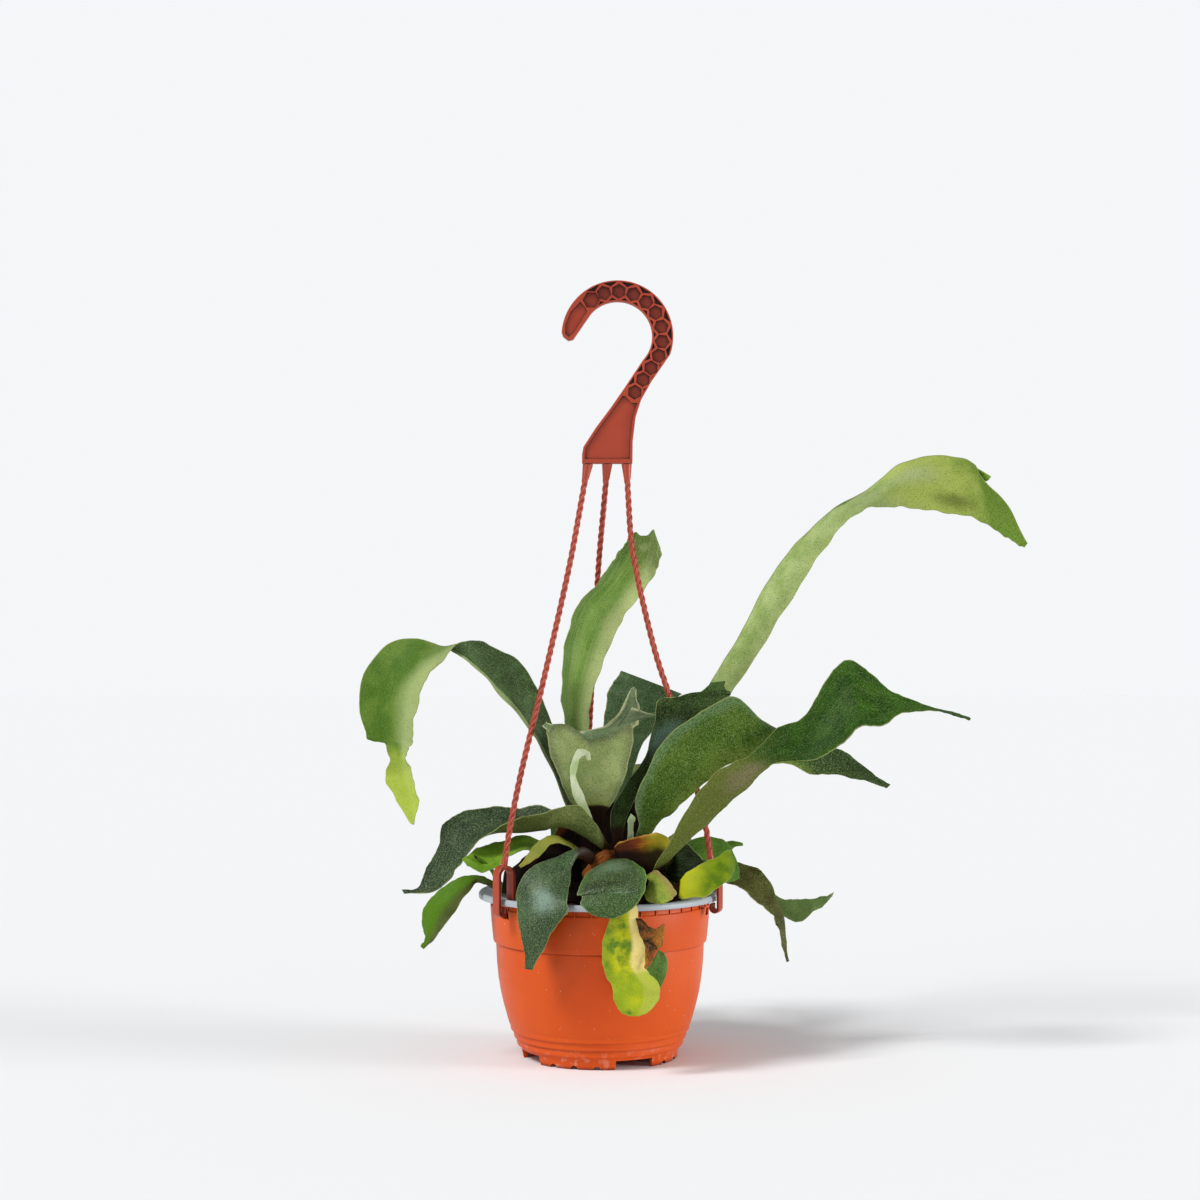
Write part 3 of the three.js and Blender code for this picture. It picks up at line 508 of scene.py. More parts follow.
def add_outer_pot():
    pot = lathe("pot_outer", outer_pot_profile(), POT_SIDES)
    gap = (GAP_REACH, 2 * FOOT_RADIUS * math.sin(math.radians(PAD_GAP / 2)), GAP_TOP_Z - GAP_FOOT_Z)
    gap_place = (FOOT_RADIUS, 0, (GAP_TOP_Z + GAP_FOOT_Z) / 2)
    window = (WINDOW_REACH, WINDOW_WIDTH, WINDOW_HEIGHT)
    cuts = [block(gap_place, gap, angle + PAD_TO_GAP) for angle in PAD_ANGLES]
    cuts += [notch(angle + step) for angle in PAD_ANGLES for step in NOTCH_STEPS]
    cuts += [block((WINDOW_WALL_RADIUS, 0, WINDOW_Z), window, angle) for angle in WINDOW_ANGLES]
    cut(pot, cuts, "pot_cutter")
    rib = (RIB_DEPTH, RIB_WIDTH, NECK_TOP_Z - NECK_Z)
    rib_place = (RIB_RADIUS, 0, NECK_Z + rib[2] / 2)
    ribs = [block(rib_place, rib, 360 * k / NECK_RIBS) for k in range(NECK_RIBS)]
    merge(pot, to_object("neck_ribs", *joined(ribs)))
    dressed(pot, [pot_plastic()], "outer_pot")


def pot_plastic():
    """Terracotta-coloured plastic with a satin shine, small scuffs, pale dust near the foot and painted
    shade in its rings and grooves.
    """
    shader = Shader("pot_plastic")
    base, deep = (209, 83, 10), (199, 72, 7)
    colour = shader.mix(shader.ramp(shader.noise(18, 4), [(0.35, 0.0), (0.7, 1.0)]), base, deep)
    height = shader.node("ShaderNodeSeparateXYZ", {"Vector": shader.coordinates()}).outputs[2]
    low = shader.ramp(shader.math("ADD", height, shader.math("MULTIPLY", shader.noise(60, 4), 0.012)),
                      [(0.006, 1.0), (0.022, 0.0)])
    dust = shader.ramp(shader.noise(210, 5), [(0.56, 0.0), (0.66, 0.35)])
    colour = shader.mix(shader.math("MULTIPLY", low, dust), colour, (232, 190, 168))
    specks = shader.ramp(shader.noise(420, 2), [(0.735, 0.0), (0.77, 0.5)])
    colour = shader.mix(specks, colour, (238, 196, 172))
    # Painted shade: darkens the colour in the rings, grooves, notches and windows.
    shader.put(Base_Color=shader.painted_shade(colour, (84, 20, 6), 3.2))
    scuffs = shader.noise(9, 4, stretch=(1, 1, 5), distortion=1.2)
    shader.put(Roughness=shader.ramp(scuffs, [(0.3, 0.38), (0.7, 0.48)]), Specular_IOR_Level=0.25)
    wavy = shader.bump(shader.noise(24, 2), 0.25, 0.0009)
    shader.put(Normal=shader.bump(shader.noise(1700, 2), 0.12, 0.0002, wavy))
    shader.glow(0.12, (1.0, 0.3, 0.1), 0.004)
    return shader.material


def add_liner_pot():
    outside = [
        (0, 14), (49, 14), (53.5, 18), (62.3, 40), (65.6, 56), (68, 80), (70.8, LEDGE_Z), (81, LEDGE_Z),
        (81.6, LIP_FOOT_Z), (LIP_RADIUS, LIP_FOOT_Z + 0.4), (LIP_RADIUS, LIP_TOP_Z - 1.2),
        (LIP_RADIUS - 1.1, LIP_TOP_Z),
    ]
    inside = [
        (81.3, LIP_TOP_Z), (80.2, LEDGE_Z + 1.5), (70.3, LEDGE_Z + 1.5), (69, LEDGE_Z - 1),
        (66.4, 80), (64, 56), (60.8, 40), (52.4, 19), (48.4, 15.6), (0, 15.6),
    ]
    liner = lathe("pot_liner", softened(outside + inside, 0.5), POT_SIDES)
    plastic = moulded_plastic("liner_plastic", (168, 176, 182), (150, 157, 164), 0.42, 0.1, 0.1)
    dressed(liner, [plastic], "liner_pot")


# The hanger: hook, three twisted arms and their clips

HOOK_CENTRE = (12, 496.4)
HOOK_OUTER_RADIUS = 38.6
HOOK_INNER_RADIUS = 24.0
HOOK_THICKNESS = 6.4
HOOK_EDGE = 0.6
PLATE_FOOT_Z = 408.4
CELL_SIZE = 9.0
FIRST_CELL_SHARE = 1.16
CELL_DEPTH = 2.95
POCKET_DEPTH = 3.05
RECESS_DEPTH = 1.7
RIM = 1.1
POCKET_GAP = 0.8
POCKET_WALL = 0.9
POCKET_SLOPE = 1.6
SMALLEST_POCKET = 0.7
# Where the twelve cells' middles are seen, in px of the 1200 x 1200 picture.
CELLS_PX = ((591.2, 300.6), (604, 293.7), (618.7, 291.9), (633.3, 294.7), (645.9, 302.5), (655.5, 313.2),
            (661.1, 327.1), (661.9, 342), (658.6, 356.2), (650.9, 368.3), (642.9, 379.9), (634.7, 392.5))
MM_PER_PX = EYE_DISTANCE / FOCAL_PX


def hook_outline():
    """The hook seen from the front, in X-Z, from its tip along the inside and back along the outside."""
    inner = arc(HOOK_CENTRE, HOOK_INNER_RADIUS, 140, -42, 44)
    outer = arc(HOOK_CENTRE, HOOK_OUTER_RADIUS, -18, 176, 56)
    tip = [(-25.5, 496.3), (-22, 493.4), (-18.6, 494.1)]
    neck = [(16.6, 460.4), (7, 446.6), (-3, 433.2), (-11.4, 420.2), (-12.4, 415), (-12.4, PLATE_FOOT_Z)]
    side = [(22.4, PLATE_FOOT_Z), (22.6, 423.8), (24.6, 440.8), (28.4, 452.7), (35.4, 465.2), (43.9, 477.5)]
    return tip + inner + neck + side + outer


def distance_to_edge(start, direction, outline):
    """How far a point is from the outline, in a direction."""
    nearest = math.inf
    for a, b in zip(outline, outline[1:] + outline[:1]):
        edge = Vector(b) - Vector(a)
        across = direction.x * edge.y - direction.y * edge.x
        if abs(across) < 1e-9:
            continue
        gap = Vector(a) - start
        far = (gap.x * edge.y - gap.y * edge.x) / across
        share = (gap.x * direction.y - gap.y * direction.x) / across
        if far > 0 and 0 <= share <= 1:
            nearest = min(nearest, far)
    return nearest


def cell_shapes():
    """Six-sided cells along the hook, and the small pockets between them and the rim."""
    middles = [Vector(((x - PICTURE_CENTRE_PX) * MM_PER_PX,
                       EYE_HEIGHT - (y - PICTURE_CENTRE_PX) * MM_PER_PX)) for x, y in CELLS_PX]
    outline = hook_outline()
    cells, pockets = [], []
    for i, middle in enumerate(middles):
        along = middles[min(i + 1, len(middles) - 1)] - middles[max(i - 1, 0)]
        turn = math.degrees(math.atan2(along.y, along.x)) + 90
        size = CELL_SIZE * (FIRST_CELL_SHARE if i == 0 else 1.0)
        cells.append(arc(middle, size / math.sqrt(3), turn, turn + 300, 5))
    for a, b in zip(middles, middles[1:]):
        centre = (a + b) / 2
        along = (b - a).normalized()
        for outward in (Vector((-along.y, along.x)), Vector((along.y, -along.x))):
            limit = distance_to_edge(centre, outward, outline) - RIM
            foot = (b - a).length / 2 / math.sqrt(3) + POCKET_WALL
            base = centre + outward * limit
            spread = (base - Vector(HOOK_CENTRE)).length / (centre - Vector(HOOK_CENTRE)).length
            half = min(spread * (b - a).length / 2 - POCKET_GAP, (limit - foot) * POCKET_SLOPE)
            if half > SMALLEST_POCKET:
                triangle = (centre + outward * foot, base - along * half, base + along * half)
                pockets.append([tuple(corner) for corner in triangle])
    return cells, pockets


def recess_shapes():
    """The shallow hollows in the hook's tip and in its plate."""
    tip = [(-13.6, 520.2), (-9.6, 515.6), (-9, 513.2), (-17.9, 499), (-21.6, 495.8), (-24, 498),
           (-24, 504.4), (-20.2, 513.4)]
    plate = [(-10.6, 411.6), (20.6, 411.6), (20.8, 424), (22.7, 440.8), (25.9, 450.4), (21.4, 450.4),
             (17.6, 455), (15.6, 455.4), (8.7, 445.9), (-1.4, 432.2), (-9.7, 419.6), (-10.6, 415)]
    return [tip, plate]


def rounded_edges(obj, width):
    modifier = obj.modifiers.new("edges", "BEVEL")
    modifier.width = width * MM
    modifier.segments = 3
    modifier.limit_method = "ANGLE"
    modifier.angle_limit = math.radians(35)
    modifier.use_clamp_overlap = True
    return settle(obj)


def add_hook(plastic):
    corners, faces = prism(hook_outline(), -HOOK_THICKNESS / 2, HOOK_THICKNESS / 2)
    hook = rounded_edges(to_object("hanger_hook_top", corners, faces), HOOK_EDGE)
    cells, pockets = cell_shapes()
    cuts = []
    hollows = ((cells, CELL_DEPTH), (pockets, POCKET_DEPTH), (recess_shapes(), RECESS_DEPTH))
    for shapes, depth in hollows:
        for shape in shapes:
            cuts.append(prism(shape, -HOOK_THICKNESS, depth - HOOK_THICKNESS / 2))
            cuts.append(prism(shape, HOOK_THICKNESS / 2 - depth, HOOK_THICKNESS))
    cut(hook, cuts, "hook_cutter")
    dressed(hook, [plastic], "hanger_hook")


CLIP_ANGLES = {"left": 218, "right": 338, "back": 98}
CLIP_WIDTH = 7.2
CLIP_STRAP = 2.6
CLIP_OUTER_RADIUS = 87.3
CLIP_INNER_RADIUS = 75.8
CLIP_TOP_Z = 136.8
CLIP_HOOK_Z = 106.2
CLIP_EDGE = 0.7
CHANNEL_DEPTH = 0.7
BEND_RADIUS = 2.6
ARM_RADIUS = 2.15
ARM_ROOT_RADIUS = 3.6
ARM_ROOT_Z = PLATE_FOOT_Z - 0.3
ARM_FOOT_Z = CLIP_TOP_Z - 0.6
# An arm tapers over ROOT_SHARE of its length, and its twist ends within PLAIN_FOOT of its foot.
ROOT_SHARE = 0.05
PLAIN_FOOT = 7
STRANDS = 3
STRAND_SPACING = 5.7
GROOVE_DEPTH = 0.62
ARM_ROUTES = {
    "left": [(-8.4, 0, ARM_ROOT_Z), (-12.6, -3, 384), (-21, -9, 338), (-40, -26, 253), (-53.6, -40, 196),
             (-61, -47.6, 158), (-64.2, -50.2, ARM_FOOT_Z)],
    "right": [(18.4, 0, ARM_ROOT_Z), (19.6, -2, 384), (22.4, -5, 349), (37.5, -13, 280),
              (48.4, -18.4, 246), (62, -25, 200), (71, -28.6, 164), (75.6, -30.5, ARM_FOOT_Z)],
    "back": [(5, 0, ARM_ROOT_Z), (3, 6, 384), (-1, 20, 339), (-7, 52, 232), (-11.3, 80.7, ARM_FOOT_Z)],
}


def spline(points, t, even=True):
    """A smooth curve through points, at an array of places t from 0 to 1."""
    points = np.asarray(points, float)
    last = len(points) - 1
    padded = np.vstack([2 * points[0] - points[1], points, 2 * points[-1] - points[-2]])
    place = np.asarray(t, float) * last
    piece = np.clip(np.floor(place), 0, last - 1).astype(int)
    w = (place - piece)[..., None]
    p0, p1, p2, p3 = (padded[piece + k] for k in range(4))
    if even:
        d0 = d1 = d2 = 1.0
    else:
        d0, d1, d2 = (np.sqrt(np.linalg.norm(b - a, axis=-1))[..., None]
                      for a, b in ((p0, p1), (p1, p2), (p2, p3)))
    m1 = ((p1 - p0) / d0 - (p2 - p0) / (d0 + d1) + (p2 - p1) / d1) * d1
    m2 = ((p2 - p1) / d1 - (p3 - p1) / (d1 + d2) + (p3 - p2) / d2) * d1
    return p1 + m1 * w + (3 * (p2 - p1) - 2 * m1 - m2) * w ** 2 + (2 * (p1 - p2) + m1 + m2) * w ** 3


def twisted_cord(route, sides=24, step=0.75):
    """Corners and faces of a three-strand twist, thick and round at its root, round at its foot."""
    fine = spline(route, np.linspace(0, 1, 400), even=False)
    lengths = np.concatenate([[0], np.cumsum(np.linalg.norm(np.diff(fine, axis=0), axis=1))])
    total = lengths[-1]
    places = np.linspace(0, total, int(total / step))
    centres = np.stack([np.interp(places, lengths, fine[:, k]) for k in range(3)], axis=1)
    corners = []
    for i, centre in enumerate(centres):
        along = centres[min(i + 1, len(centres) - 1)] - centres[max(i - 1, 0)]
        along /= np.linalg.norm(along)
        first = np.cross((0, 1, 0), along)
        first /= np.linalg.norm(first)
        second = np.cross(along, first)
        root = max(0.0, 1 - places[i] / (ROOT_SHARE * total))
        foot = min(1.0, max(0.0, (PLAIN_FOOT - total + places[i]) / 2.5))
        radius = ARM_RADIUS + (ARM_ROOT_RADIUS - ARM_RADIUS) * root ** 1.3
        groove = GROOVE_DEPTH * (1 - max(min(1, root * 2.5), foot))
        twist = 2 * math.pi * places[i] / (STRANDS * STRAND_SPACING)
        for k in range(sides):
            angle = 2 * math.pi * k / sides
            lobe = abs(math.cos(STRANDS / 2 * (angle - twist)))
            r = radius * (1 - groove * (1 - lobe ** 0.7))
            corners.append(centre + r * (math.cos(angle) * first + math.sin(angle) * second))
    for k in range(sides):
        corners[k][2] = route[0][2]
    faces = [tuple(range(sides)), tuple(range(len(corners) - 1, len(corners) - sides - 1, -1))]
    for i in range(len(centres) - 1):
        for k in range(sides):
            n = (k + 1) % sides
            faces.append((i * sides + k, (i + 1) * sides + k, (i + 1) * sides + n, i * sides + n))
    return corners, faces


def clip_outline(half):
    """The bent strap's side view; half is half its thickness."""
    arch_radius = (CLIP_OUTER_RADIUS - CLIP_INNER_RADIUS) / 2
    arch = ((CLIP_OUTER_RADIUS + CLIP_INNER_RADIUS) / 2, CLIP_TOP_Z - half - arch_radius)
    bend = (CLIP_OUTER_RADIUS - BEND_RADIUS, CLIP_HOOK_Z)
    inner_foot = LEDGE_Z + 1.9
    hook_end = LIP_FOOT_Z - 0.4
    return [
        *arc(arch, arch_radius + half, 0, 180, 24),
        (CLIP_INNER_RADIUS - half, inner_foot), (CLIP_INNER_RADIUS + half, inner_foot),
        *arc(arch, arch_radius - half, 180, 0, 18),
        *arc(bend, BEND_RADIUS - half + 0.2, 0, -180, 8),
        (bend[0] - BEND_RADIUS + half, hook_end), (bend[0] - BEND_RADIUS - half + 0.6, hook_end),
        *arc(bend, BEND_RADIUS + half, 180, 360, 14),
    ]


def add_arm(side, plastic):
    corners, faces = prism(clip_outline(CLIP_STRAP / 2), -CLIP_WIDTH / 2, CLIP_WIDTH / 2)
    clip = rounded_edges(to_object("clip", corners, faces), CLIP_EDGE)
    channel = clip_outline(CLIP_STRAP / 5)
    cuts = [prism(channel, -CLIP_WIDTH, CHANNEL_DEPTH - CLIP_WIDTH / 2),
            prism(channel, CLIP_WIDTH / 2 - CHANNEL_DEPTH, CLIP_WIDTH)]
    cut(clip, cuts, "clip_channel")
    spin = Matrix.Rotation(math.radians(CLIP_ANGLES[side]), 4, "Z")
    clip.data.transform(Matrix.Translation(AXIS) @ spin @ Matrix.Translation(-AXIS))
    cord = to_object("hanger_" + side, *twisted_cord(ARM_ROUTES[side]))
    merge(cord, clip)
    dressed(cord, [plastic], "hanger_arm_" + side)


def add_hanger():
    colours = (166, 60, 32), (152, 52, 28), 0.4, 0.03, 0.05
    # The last colour given to each plastic is painted shade: it darkens the hook's cells, pockets and
    # recesses and the cords' twist grooves.
    add_hook(moulded_plastic("hook_plastic", *colours, (36, 8, 4)))
    plastic = moulded_plastic("arm_plastic", *colours, (24, 4, 2), 2.4)
    for side in CLIP_ANGLES:
        add_arm(side, plastic)


# The growing medium and the crown

CHIP_SEED = 11
CHIP_COUNT = 420
CHIP_SPREAD = 64
CHIP_SINK = 0.6
# Shortest and longest in length, width and height, and least and greatest turn about X, Y and Z.
CHIP_SIZES = ((3, 8), (2, 4), (1, 2.2))
CHIP_TURNS = ((-0.4, 0.4), (-0.4, 0.4), (0, 6.3))
# The mix's surface under the chips, as (radius, height).
CHIP_GROUND = ((0, 108), (36, 107), (60, 104.6), (67, 101))
CROWN_CENTRE = np.array((17.0, 0.0, 118.0))
CROWN_RADII = np.array((40.0, 36.0, 30.0))
CROWN_SUBDIVISIONS = 6
CROWN_RIPPLE = 1.4
SOIL_SIDES = 96
SOIL_UNEVENNESS = 1.6
SOIL_TOP_Z = 103
SOIL_PROFILE = [
    (0, 16.2), (47.8, 16.2), (51.8, 19.8), (60.2, 40), (63.4, 56), (65.8, 80), (67.4, 100.5),
    (66.4, 102.2), (63.5, 103.6), (60, 104.6), (54, 105.4), (48, 106), (42, 106.6), (36, 107),
    (28, 107.4), (20, 107.7), (12, 107.9), (0, 108),
]


def lumpy(direction):
    """The crown's radius as a share of its egg, for unit directions."""
    x, y, z = direction[..., 0], direction[..., 1], direction[..., 2]
    return 1 + 0.05 * np.sin(4 * x + 1) * np.cos(5 * y) + 0.03 * np.sin(7 * z + 3 * x)


def pushed_off_crown(points, gap):
    """Moves points that lie inside the crown on to a skin a little outside it."""
    offset = (points - CROWN_CENTRE) / CROWN_RADII
    size = np.linalg.norm(offset, axis=-1, keepdims=True)
    direction = offset / size
    skin = CROWN_CENTRE + direction * (CROWN_RADII * lumpy(direction)[..., None] + gap)
    inside = size < np.linalg.norm((skin - CROWN_CENTRE) / CROWN_RADII, axis=-1, keepdims=True)
    return np.where(inside, skin, points), inside[..., 0]


def add_soil():
    chance = random.Random(CHIP_SEED)
    soil = lathe("bark_mix", SOIL_PROFILE, SOIL_SIDES)
    mesh = bmesh.new()
    mesh.from_mesh(soil.data)
    for vertex in mesh.verts:
        if vertex.co.z > SOIL_TOP_Z * MM:
            vertex.co.z -= chance.uniform(0, SOIL_UNEVENNESS) * MM
    for _ in range(CHIP_COUNT):
        angle = chance.uniform(0, 2 * math.pi)
        radius = CHIP_SPREAD * math.sqrt(chance.uniform(0.12, 1))
        ground = np.interp(radius, *zip(*CHIP_GROUND))
        place = Vector((radius * math.cos(angle), radius * math.sin(angle), ground - CHIP_SINK))
        add_chip(mesh, chance, AXIS + place * MM)
    mesh.to_mesh(soil.data)
    mesh.free()
    finish_mesh(soil.data, SMOOTH_BARK)
    bark = earthy("bark_mix", (44, 28, 17), (14, 9, 6), (100, 66, 40), 140, 1.2)
    dressed(soil, [bark], "soil")


def add_chip(mesh, chance, place):
    """A splinter of bark: a flattened block with each corner knocked about."""
    size = Vector([chance.uniform(*span) for span in CHIP_SIZES]) * MM
    turn = Euler([chance.uniform(*span) for span in CHIP_TURNS]).to_matrix()
    for vertex in bmesh.ops.create_cube(mesh, size=1)["verts"]:
        jolt = Vector([chance.uniform(0.6, 1.25) for _ in range(3)])
        vertex.co = turn @ (vertex.co * jolt * size) + place


def add_crown():
    mesh = bmesh.new()
    bmesh.ops.create_icosphere(mesh, subdivisions=CROWN_SUBDIVISIONS, radius=1)
    for vertex in mesh.verts:
        direction = np.array(vertex.co.normalized())
        turn = math.atan2(direction[1], direction[0])
        ripple = 0.5 + 0.5 * math.sin(16 * direction[2] + 4 * math.sin(3 * turn))
        radius = CROWN_RADII * lumpy(direction) - CROWN_RIPPLE * ripple
        vertex.co = AXIS + Vector(CROWN_CENTRE + direction * radius) * MM
    data = bpy.data.meshes.new("crown")
    mesh.to_mesh(data)
    mesh.free()
    data.uv_layers.new(name="UVMap")
    crown = bpy.data.objects.new("crown", data)
    bpy.context.collection.objects.link(crown)
    finish_mesh(data, SMOOTH_CROWN)
    scaly = earthy("crown_scales", (32, 17, 9), (13, 8, 5), (70, 38, 18), 120, 1.4)
    dressed(crown, [scaly, *shield_skins()], "crown")
    for skin, (name, shield) in enumerate(SHIELDS.items(), 1):
        part = blade_object("shield_" + name, shield, (skin, skin), SHIELD_RAGGEDNESS, on_crown=False)
        merge(crown, part, SMOOTH_LEAF)


def shield_skins():
    """One skin for each shield, in the order of SHIELDS."""
    # This near-black colour is painted shade: it makes the back and far-left shields stand in for the deep
    # shade inside the crown.
    dark = (15, 9, 6)
    right = shield_skin("shield_right", (110, 46, 10), (150, 80, 20),
                        ("along", 0.5, 0.78, (54, 24, 10), 0.85), ("along", 0.64, 0.4, (148, 142, 32), 0.9),
                        ("across", 0.24, 0.58, (13, 5, 3), 0.95), ("across", 0.1, 0.0, (196, 150, 70), 0.7))
    left = shield_skin("shield_left", (112, 56, 22), (164, 98, 46), ("across", 0.6, 1.0, (26, 12, 6), 0.8))
    back = shield_skin("shield_back", dark, (36, 18, 9), ("across", 0.1, 0.02, (130, 68, 30), 0.8))
    far = shield_skin("shield_far_left", dark, (34, 18, 9), ("across", 0.36, 0.06, (120, 48, 18), 0.8),
                      ("along", 0.62, 0.7, dark, 0.95), ("along", 0.5, 0.42, dark, 0.95))
    return right, left, back, far


# Fronds
#
# Each frond is a blade between two edges. Its rows run from the root to the tip:
# (edge A px, edge A py, edge A depth, edge B px, edge B py, edge B depth, cup).
# px and py are where the edge is seen in the 1200 x 1200 picture, depth is its Y in mm,
# and cup is how far the blade's middle bows out, in mm; a row without a cup is flat.
# waves is how often the edges wave up and down. reach, where the tip is uneven, gives
# (place across, share of the length that is reached there).

BLADE_THICKNESS = 1.2
# How much of the thickness is lost at the edges and at the tip.
EDGE_THINNING = 0.55
TIP_THINNING = 0.3
EDGE_WAVE = 1.2
FACES_ALONG = 8
FACES_ACROSS = 16
CROWN_GAP = 1.0
# Unevenness of the edges: (wavelength, size, whether it grows with the raggedness).
RUFFLES = ((34, 0.5, False), (19, 0.35, False), (9, 0.16, True), (4.5, 0.1, True))
SHIELD_RAGGEDNESS = 1.4
LOBE_RAGGEDNESS = 0.6


def seen(px, py, depth):
    """Where a point lies that the picture shows at px, py, when its depth is known."""
    scale = (EYE_DISTANCE + depth) / FOCAL_PX
    x, z = (px - PICTURE_CENTRE_PX) * scale, EYE_HEIGHT - (py - PICTURE_CENTRE_PX) * scale
    return np.stack([x, depth, z], -1)


def blade_surface(frond, along, across):
    """The blade's middle surface, as an array of points from root to tip and from edge A to edge B."""
    rows = np.array([(*row, 0)[:7] for row in frond["rows"]], float)
    edge_a, edge_b = seen(*rows[:, 0:3].T), seen(*rows[:, 3:6].T)
    u = np.linspace(0, 1, along + 1)[:, None]
    v = np.linspace(0, 1, across + 1)[None, :]
    reach = np.array(frond.get("reach", ((0, 1), (1, 1))), float)
    t = u * (1 - (1 - np.interp(v, reach[:, 0], reach[:, 1])) * u * u)
    a, b = spline(edge_a, t), spline(edge_b, t)
    ahead, behind = np.minimum(1, t + 0.01), np.maximum(0, t - 0.01)
    direction = (spline(edge_a, ahead) + spline(edge_b, ahead)
                 - spline(edge_a, behind) - spline(edge_b, behind)) / 2
    normal = unit(np.cross(direction, b - a))
    side = 2 * v - 1
    bow = spline(rows[:, 6:7], t)[..., 0] * 4 * v * (1 - v)
    turn = 2 * np.pi * frond.get("waves", 0) * t + 2 * side
    wave = EDGE_WAVE * side ** 2 * np.sin(np.pi * t) * np.sin(turn)
    points = a + (b - a) * v[..., None] + normal * (bow + wave)[..., None]
    return points, unit(b - a), normal, u, side


def unit(vectors):
    return vectors / np.maximum(np.linalg.norm(vectors, axis=-1, keepdims=True), 1e-9)


def ruffled(points, across_unit, normal, u, side, seed, ragged):
    """Gives the edges the small unevenness of a grown leaf."""
    chance = random.Random(seed)
    length = np.linalg.norm(np.diff(points[:, points.shape[1] // 2], axis=0), axis=1).sum()
    inward = np.zeros_like(u * side)
    upward = np.zeros_like(u * side)
    for wavelength, size, grows in RUFFLES:
        size *= ragged if grows else 1
        for edge in (-1, 1):
            share = np.clip(edge * side, 0, 1) ** 4
            phases = [chance.uniform(0, 6.3) for _ in range(2)]
            turn = 2 * np.pi * u * length / wavelength
            inward = inward + size * share * edge * np.sin(turn + phases[0]) * 0.8
            upward = upward + size * share * np.sin(turn + phases[1])
    fade_in = np.clip(u * 6, 0, 1)
    return points + across_unit * (inward * fade_in)[..., None] + normal * (upward * fade_in)[..., None]


def blade_mesh(frond, seed, ragged, on_crown):
    """Corners, faces, each face's side (0 top, 1 bottom) and UVs of a closed, thin-edged blade."""
    along, across = (len(frond["rows"]) - 1) * FACES_ALONG, frond.get("across", FACES_ACROSS)
    points, across_unit, normal, u, side = blade_surface(frond, along, across)
    points = ruffled(points, across_unit, normal, u, side, seed, ragged)
    v = np.broadcast_to((side + 1) / 2, points.shape[:2])
    u = np.broadcast_to(u, points.shape[:2])
    if on_crown:
        points, inside = pushed_off_crown(points, CROWN_GAP)
        first = max(0, int(np.argmin(inside.all(axis=1))) - 1)
        points, u, v = points[first:], u[first:], v[first:]
    facing = unit(np.cross(np.gradient(points, axis=0), np.gradient(points, axis=1)))
    half = BLADE_THICKNESS / 2 * (1 - EDGE_THINNING * np.abs(2 * v - 1) ** 5) * (1 - TIP_THINNING * u ** 4)
    top = points + facing * half[..., None]
    bottom = points - facing * half[..., None]
    return stitched(top, bottom, np.stack([v, u], -1))


def stitched(top, bottom, uv):
    """Closes two grids of points into one shell with a rim."""
    count_u, count_v = top.shape[:2]
    start = count_u * count_v
    corners = np.vstack([top.reshape(-1, 3), bottom.reshape(-1, 3)])
    uvs = np.vstack([uv.reshape(-1, 2)] * 2)
    faces, sides = [], []

    def at(i, j):
        return i * count_v + j

    for i in range(count_u - 1):
        for j in range(count_v - 1):
            quad = (at(i, j), at(i + 1, j), at(i + 1, j + 1), at(i, j + 1))
            faces += [quad, tuple(start + k for k in reversed(quad))]
            sides += [0, 1]
    rim = [at(0, j) for j in range(count_v)]
    rim += [at(i, count_v - 1) for i in range(1, count_u)]
    rim += [at(count_u - 1, j) for j in range(count_v - 2, -1, -1)]
    rim += [at(i, 0) for i in range(count_u - 2, 0, -1)]
    for a, b in zip(rim, rim[1:] + rim[:1]):
        faces.append((a, b, start + b, start + a))
        sides.append(0)
    return corners, faces, sides, uvs


def blade_object(name, frond, faces=(0, 1), ragged=1.0, on_crown=True):
    """A blade as an object. faces holds the material numbers of its top and its bottom."""
    seed = sum(ord(letter) * (i + 1) for i, letter in enumerate(name))
    corners, quads, sides, uvs = blade_mesh(frond, seed, ragged, on_crown)
    return to_object(name, corners, quads, [faces[s] for s in sides], uvs, SMOOTH_LEAF)


